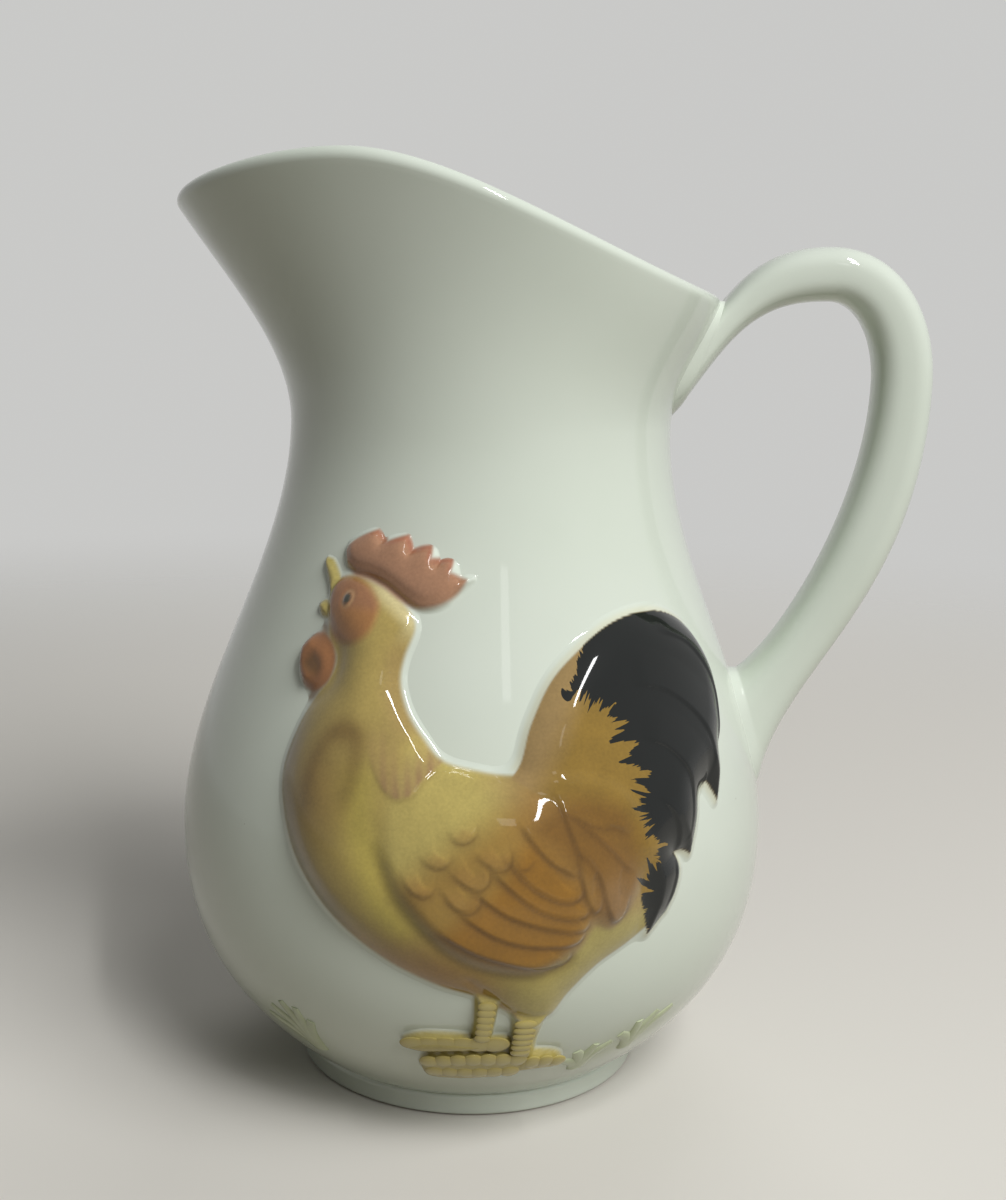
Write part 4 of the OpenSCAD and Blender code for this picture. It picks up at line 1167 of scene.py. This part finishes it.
def scale_tree():
    """Rows of overlapping round scales along each line, in the sizes that the line says."""
    tree, given = lines_tree("scale_rows")
    kinds = {"half_width": "FLOAT", "half_length": "FLOAT", "height": "FLOAT", "pitch": "FLOAT",
             "outward": "FLOAT_VECTOR", "heading": "FLOAT_VECTOR"}
    stored = {name: node(tree, "GeometryNodeInputNamedAttribute", data_type=kind,
                         inputs={"Name": name}).outputs["Attribute"] for name, kind in kinds.items()}
    line = node(tree, "GeometryNodeMeshToCurve", {"Mesh": given["Lines"]})
    rows = node(tree, "GeometryNodeResampleCurve",
                {"Curve": line.outputs["Curve"], "Length": stored["pitch"]}, mode="LENGTH")
    tangent = node(tree, "GeometryNodeInputTangent")
    kept = node(tree, "GeometryNodeStoreNamedAttribute",
                {"Geometry": rows.outputs["Curve"], "Value": tangent.outputs["Tangent"]},
                data_type="FLOAT_VECTOR", domain="POINT", inputs={"Name": "heading"})
    points = node(tree, "GeometryNodeCurveToPoints", {"Curve": kept.outputs["Geometry"]}, mode="EVALUATED")
    ball = node(tree, "GeometryNodeMeshUVSphere", inputs={"Segments": 20, "Rings": 12, "Radius": 1.0})
    place = node(tree, "GeometryNodeInputPosition")
    marked = node(tree, "GeometryNodeStoreNamedAttribute",
                  {"Geometry": ball.outputs["Mesh"], "Value": place.outputs["Position"]},
                  data_type="FLOAT_VECTOR", domain="POINT", inputs={"Name": "on_scale"})
    upright = node(tree, "FunctionNodeAlignRotationToVector", {"Vector": stored["outward"]}, axis="Z")
    turned = node(tree, "FunctionNodeAlignRotationToVector",
                  {"Rotation": upright.outputs["Rotation"], "Vector": stored["heading"]},
                  axis="X", pivot_axis="Z")
    extent = node(tree, "ShaderNodeCombineXYZ",
                  {"X": stored["half_length"], "Y": stored["half_width"], "Z": stored["height"]})
    scales = node(tree, "GeometryNodeInstanceOnPoints",
                  {"Points": points.outputs["Points"], "Instance": marked.outputs["Geometry"],
                   "Rotation": turned.outputs["Rotation"], "Scale": extent.outputs["Vector"]})
    end_tree(tree, scales.outputs["Instances"], given["Material"])
    return tree


def grown_piece(name, lines_mesh, tree, settings, replaced):
    """The plain mesh that a geometry node tree makes of the lines, as a piece of the frame."""
    seed = bpy.data.objects.new(name + "_lines", lines_mesh)
    bpy.context.scene.collection.objects.link(seed)
    modifier = seed.modifiers.new("grow", "NODES")
    modifier.node_group = tree
    for item in tree.interface.items_tree:
        if item.in_out == "INPUT" and item.name in settings:
            modifier[item.identifier] = settings[item.name]
    grown = seed.evaluated_get(bpy.context.evaluated_depsgraph_get())
    mesh = bpy.data.meshes.new_from_object(grown)
    mesh.name = name
    bpy.data.objects.remove(seed)
    piece = bpy.data.objects.new(name, mesh)
    bpy.context.scene.collection.objects.link(piece)
    join_frame(piece, replaced)
    return piece


def blade_tree():
    """A tapering flat oval blade along each line."""
    tree, given = lines_tree("grass_blades")
    kinds = {"half_width": "FLOAT", "spine": "FLOAT_VECTOR", "outward": "FLOAT_VECTOR"}
    stored = {name: node(tree, "GeometryNodeInputNamedAttribute", data_type=kind,
                         inputs={"Name": name}).outputs["Attribute"] for name, kind in kinds.items()}
    line = node(tree, "GeometryNodeMeshToCurve", {"Mesh": given["Lines"]})
    sized = node(tree, "GeometryNodeSetCurveRadius",
                 {"Curve": line.outputs["Curve"], "Radius": stored["half_width"]})
    place = node(tree, "GeometryNodeInputPosition").outputs["Position"]
    spined = node(tree, "GeometryNodeStoreNamedAttribute",
                  {"Geometry": sized.outputs["Curve"], "Value": place},
                  data_type="FLOAT_VECTOR", domain="POINT", inputs={"Name": "spine"})
    ring = node(tree, "GeometryNodeCurvePrimitiveCircle", mode="RADIUS",
                inputs={"Resolution": 16, "Radius": 1.0})
    radius = node(tree, "GeometryNodeInputRadius")
    tube = node(tree, "GeometryNodeCurveToMesh",
                {"Curve": spined.outputs["Geometry"], "Profile Curve": ring.outputs["Curve"],
                 "Scale": radius.outputs["Radius"]}, inputs={"Fill Caps": True})
    away = node(tree, "ShaderNodeVectorMath", {0: place, 1: stored["spine"]}, operation="SUBTRACT")
    rise = node(tree, "ShaderNodeVectorMath", {0: away.outputs["Vector"], 1: stored["outward"]},
                operation="DOT_PRODUCT")
    lowered = node(tree, "ShaderNodeMath", {0: rise.outputs["Value"]}, operation="MULTIPLY",
                   inputs={1: BLADE_FLATNESS - 1})
    offset = node(tree, "ShaderNodeVectorMath", {0: stored["outward"], "Scale": lowered.outputs["Value"]},
                  operation="SCALE")
    flat = node(tree, "GeometryNodeSetPosition",
                {"Geometry": tube.outputs["Mesh"], "Offset": offset.outputs["Vector"]})
    end_tree(tree, flat.outputs["Geometry"], given["Material"])
    return tree


def scale_paint():
    """Straw underglaze on the scales, with a painted highlight on their tops and painted shade on their
    sides, so that they read as pale beads in darker seams.
    """
    material, tree = new_material("straw_underglaze_on_scales")
    on_scale = node(tree, "ShaderNodeAttribute", attribute_name="on_scale")
    parts = node(tree, "ShaderNodeSeparateXYZ", {"Vector": on_scale.outputs["Vector"]})
    # Lighter toward each scale's top, a painted highlight; darker on its sides, painted shade
    top = node(tree, "ShaderNodeMapRange", {"Value": parts.outputs["Z"]},
               inputs={"From Min": 0.35, "From Max": 0.95})
    body = node(tree, "ShaderNodeMix", {"Factor": top.outputs["Result"]}, data_type="RGBA",
                inputs={6: rgba(SCALE_SHADE_SIDE), 7: rgba(SCALE_HIGHLIGHT_TOP)})
    foot = node(tree, "ShaderNodeMapRange", {"Value": parts.outputs["Z"]},
                inputs={"From Min": 0.1, "From Max": 0.4, "To Min": 1.0, "To Max": 0.0})
    edged = node(tree, "ShaderNodeMix", {"Factor": foot.outputs["Result"], 6: body.outputs[2]},
                 data_type="RGBA", inputs={7: rgba(STRAW)})
    glaze_shader(tree, edged.outputs[2], bump_mm=PAINT_BUMP_MM)
    return material


def moss_paint():
    """Thin green sprayed on the grass, under the clear glaze."""
    material, tree = new_material("moss_underglaze_on_grass")
    place = node(tree, "ShaderNodeTexCoord").outputs["Object"]
    cloud = node(tree, "ShaderNodeTexNoise", {"Vector": place},
                 inputs={"Scale": 1 / (GRASS_CLOUD_MM * MM), "Detail": 2.0})
    green = node(tree, "ShaderNodeMix", {"Factor": cloud.outputs["Fac"]}, data_type="RGBA",
                 inputs={6: rgba(GRASS_GREEN), 7: rgba(GRASS_PALE)})
    glaze_shader(tree, green.outputs[2], bump_mm=PAINT_BUMP_MM)
    return material


# The pieces
glaze = white_glaze()
paint = underglaze_paint("underglaze_painted_earthenware")
jug_body(glaze)
handle(glaze)
for number, (name, (_, slot)) in enumerate(regions.items()):
    relief_piece(name, number, paint)
scales = scale_tree()
straw = scale_paint()
for name, scale_rows in SCALE_ROWS.items():
    lines = [(line, {"half_width": (wide, wide * SCALE_TAPER), "half_length": (long, long),
                     "height": (high, high), "pitch": (pitch, pitch)})
             for line, wide, long, high, pitch in scale_rows]
    grown_piece(name.replace("rooster", "scaled"), limb_mesh(lines, SCALE_SINK, True), scales,
                {"Material": straw}, [name])
blades = []
for (base_x, base_y), tips in TUFTS:
    for tip_x, tip_y in tips:
        bend = (mix(base_x, tip_x, BLADE_BEND[0]), mix(base_y, tip_y, BLADE_BEND[1]))
        blades.append(([(base_x, base_y), bend, (tip_x, tip_y)], {"half_width": (BLADE_W, BLADE_TIP_W)}))
grown_piece("moulded_grass", limb_mesh(blades, BLADE_SINK, False), blade_tree(), {"Material": moss_paint()},
            ["grass_tufts"])


# Stage: a pale floor that fades into the grey of the world, a large soft key light from the right, a tube and
# a short strip for the streaks on the glaze, and a soft light from behind
def area_light(name, place, target, size, power, mirrored=True, roll=0.0):
    """A rectangular light, rolled about its own axis. The large soft ones aren't mirrored in the glaze."""
    data = bpy.data.lights.new(name, "AREA")
    data.shape = "RECTANGLE"
    data.size, data.size_y = size
    data.energy = power
    lamp = bpy.data.objects.new(name, data)
    bpy.context.scene.collection.objects.link(lamp)
    lamp.visible_glossy = mirrored
    lamp.location = place
    lamp.rotation_euler = (Vector(target) - Vector(place)).to_track_quat("-Z", "Y").to_euler()
    lamp.rotation_euler.rotate_axis("Z", math.radians(roll))
    return lamp


JUG_MIDDLE = (0.0, 0.0, 0.11)
FLOOR_COLOUR = "#d9d6cf"
FLOOR_BOUNCE = "#aaa497"
FLOOR_HALF = 4.0
FLOOR_DROP = 0.0003
FLOOR_CLEAR = 0.3
FLOOR_GONE = 1.1
WORLD_COLOUR = "#f2f2f0"
WORLD_LIGHT = 0.09
WORLD_SEEN = 0.66


def floor():
    mesh = bpy.data.meshes.new("studio_floor")
    corners = [(-FLOOR_HALF, -FLOOR_HALF), (FLOOR_HALF, -FLOOR_HALF), (FLOOR_HALF, FLOOR_HALF),
               (-FLOOR_HALF, FLOOR_HALF)]
    mesh.from_pydata([(x, y, -FLOOR_DROP) for x, y in corners], [], [(0, 1, 2, 3)])
    material, tree = new_material("matt_paper_floor")
    ray = node(tree, "ShaderNodeLightPath")
    seen = node(tree, "ShaderNodeMath", {0: ray.outputs["Is Camera Ray"], 1: ray.outputs["Is Glossy Ray"]},
                operation="MAXIMUM")
    paper = node(tree, "ShaderNodeMix", {"Factor": seen.outputs["Value"]}, data_type="RGBA",
                 inputs={6: rgba(FLOOR_BOUNCE), 7: rgba(FLOOR_COLOUR)})
    shader = node(tree, "ShaderNodeBsdfPrincipled", {"Base Color": paper.outputs[2]},
                  inputs={"Roughness": 0.9, "Specular IOR Level": 0.2})
    place = node(tree, "ShaderNodeTexCoord").outputs["Object"]
    away = node(tree, "ShaderNodeVectorMath", {0: place}, operation="LENGTH")
    gone = node(tree, "ShaderNodeMapRange", {"Value": away.outputs["Value"]}, interpolation_type="SMOOTHSTEP",
                inputs={"From Min": FLOOR_CLEAR, "From Max": FLOOR_GONE})
    nothing = node(tree, "ShaderNodeBsdfTransparent")
    faded = node(tree, "ShaderNodeMixShader", {0: gone.outputs["Result"], 1: shader.outputs["BSDF"],
                                               2: nothing.outputs["BSDF"]})
    node(tree, "ShaderNodeOutputMaterial", {"Surface": faded.outputs["Shader"]})
    mesh.materials.append(material)
    ground = bpy.data.objects.new("studio_floor", mesh)
    bpy.context.scene.collection.objects.link(ground)
    return ground


scene = bpy.context.scene
floor()
area_light("key_light", (1.00, -0.98, 1.35), JUG_MIDDLE, (1.2, 1.2), 32.0, mirrored=False)
area_light("tube_light", (0.33, -0.515, 0.81), JUG_MIDDLE, (0.05, 0.41), 1.9, roll=-22)
area_light("strip_light", (0.26, -0.80, 0.60), JUG_MIDDLE, (0.06, 0.12), 0.035)
area_light("back_light", (0.15, 1.05, 0.8), JUG_MIDDLE, (0.8, 0.8), 4.0, mirrored=False)
world = bpy.data.worlds.new("studio_world")
world.use_nodes = True
light = world.node_tree.nodes["Background"]
light.inputs["Color"].default_value = rgba(WORLD_COLOUR)
ray = node(world.node_tree, "ShaderNodeLightPath")
seen = node(world.node_tree, "ShaderNodeMath",
            {0: ray.outputs["Is Camera Ray"], 1: ray.outputs["Is Glossy Ray"]}, operation="MAXIMUM")
seen_through = node(world.node_tree, "ShaderNodeMath",
                    {0: seen.outputs["Value"], 1: ray.outputs["Is Transmission Ray"]}, operation="MAXIMUM")
strength = node(world.node_tree, "ShaderNodeMapRange", {"Value": seen_through.outputs["Value"]},
                inputs={"To Min": WORLD_LIGHT, "To Max": WORLD_SEEN})
world.node_tree.links.new(strength.outputs["Result"], light.inputs["Strength"])
scene.world = world
scene.view_settings.view_transform = "Standard"

# The camera stands where the photo was taken from. Its lens and sensor are in mm, and its angles in degrees.
CAMERA_LENS = 45.0
CAMERA_SENSOR = 36.0
CAMERA_TURN = 4.0
CAMERA_DISTANCE = 388.2
CAMERA_HEIGHT = 189.4
CAMERA_YAW = 0.996
CAMERA_PITCH = 9.905
CAMERA_ROLL = 1.407
lens = bpy.data.cameras.new("photo_camera")
lens.lens = CAMERA_LENS
lens.sensor_width = CAMERA_SENSOR
lens.clip_start = 0.01
camera = bpy.data.objects.new("photo_camera", lens)
scene.collection.objects.link(camera)
turn = math.radians(CAMERA_TURN)
stand = Vector((CAMERA_DISTANCE * math.sin(turn), -CAMERA_DISTANCE * math.cos(turn), CAMERA_HEIGHT)) * MM
camera.matrix_world = (Matrix.Translation(stand)
                       @ Matrix.Rotation(math.radians(CAMERA_TURN - CAMERA_YAW), 4, "Z")
                       @ Matrix.Rotation(math.radians(90 - CAMERA_PITCH), 4, "X")
                       @ Matrix.Rotation(math.radians(CAMERA_ROLL), 4, "Z"))
scene.camera = camera
bpy.context.view_layer.update()
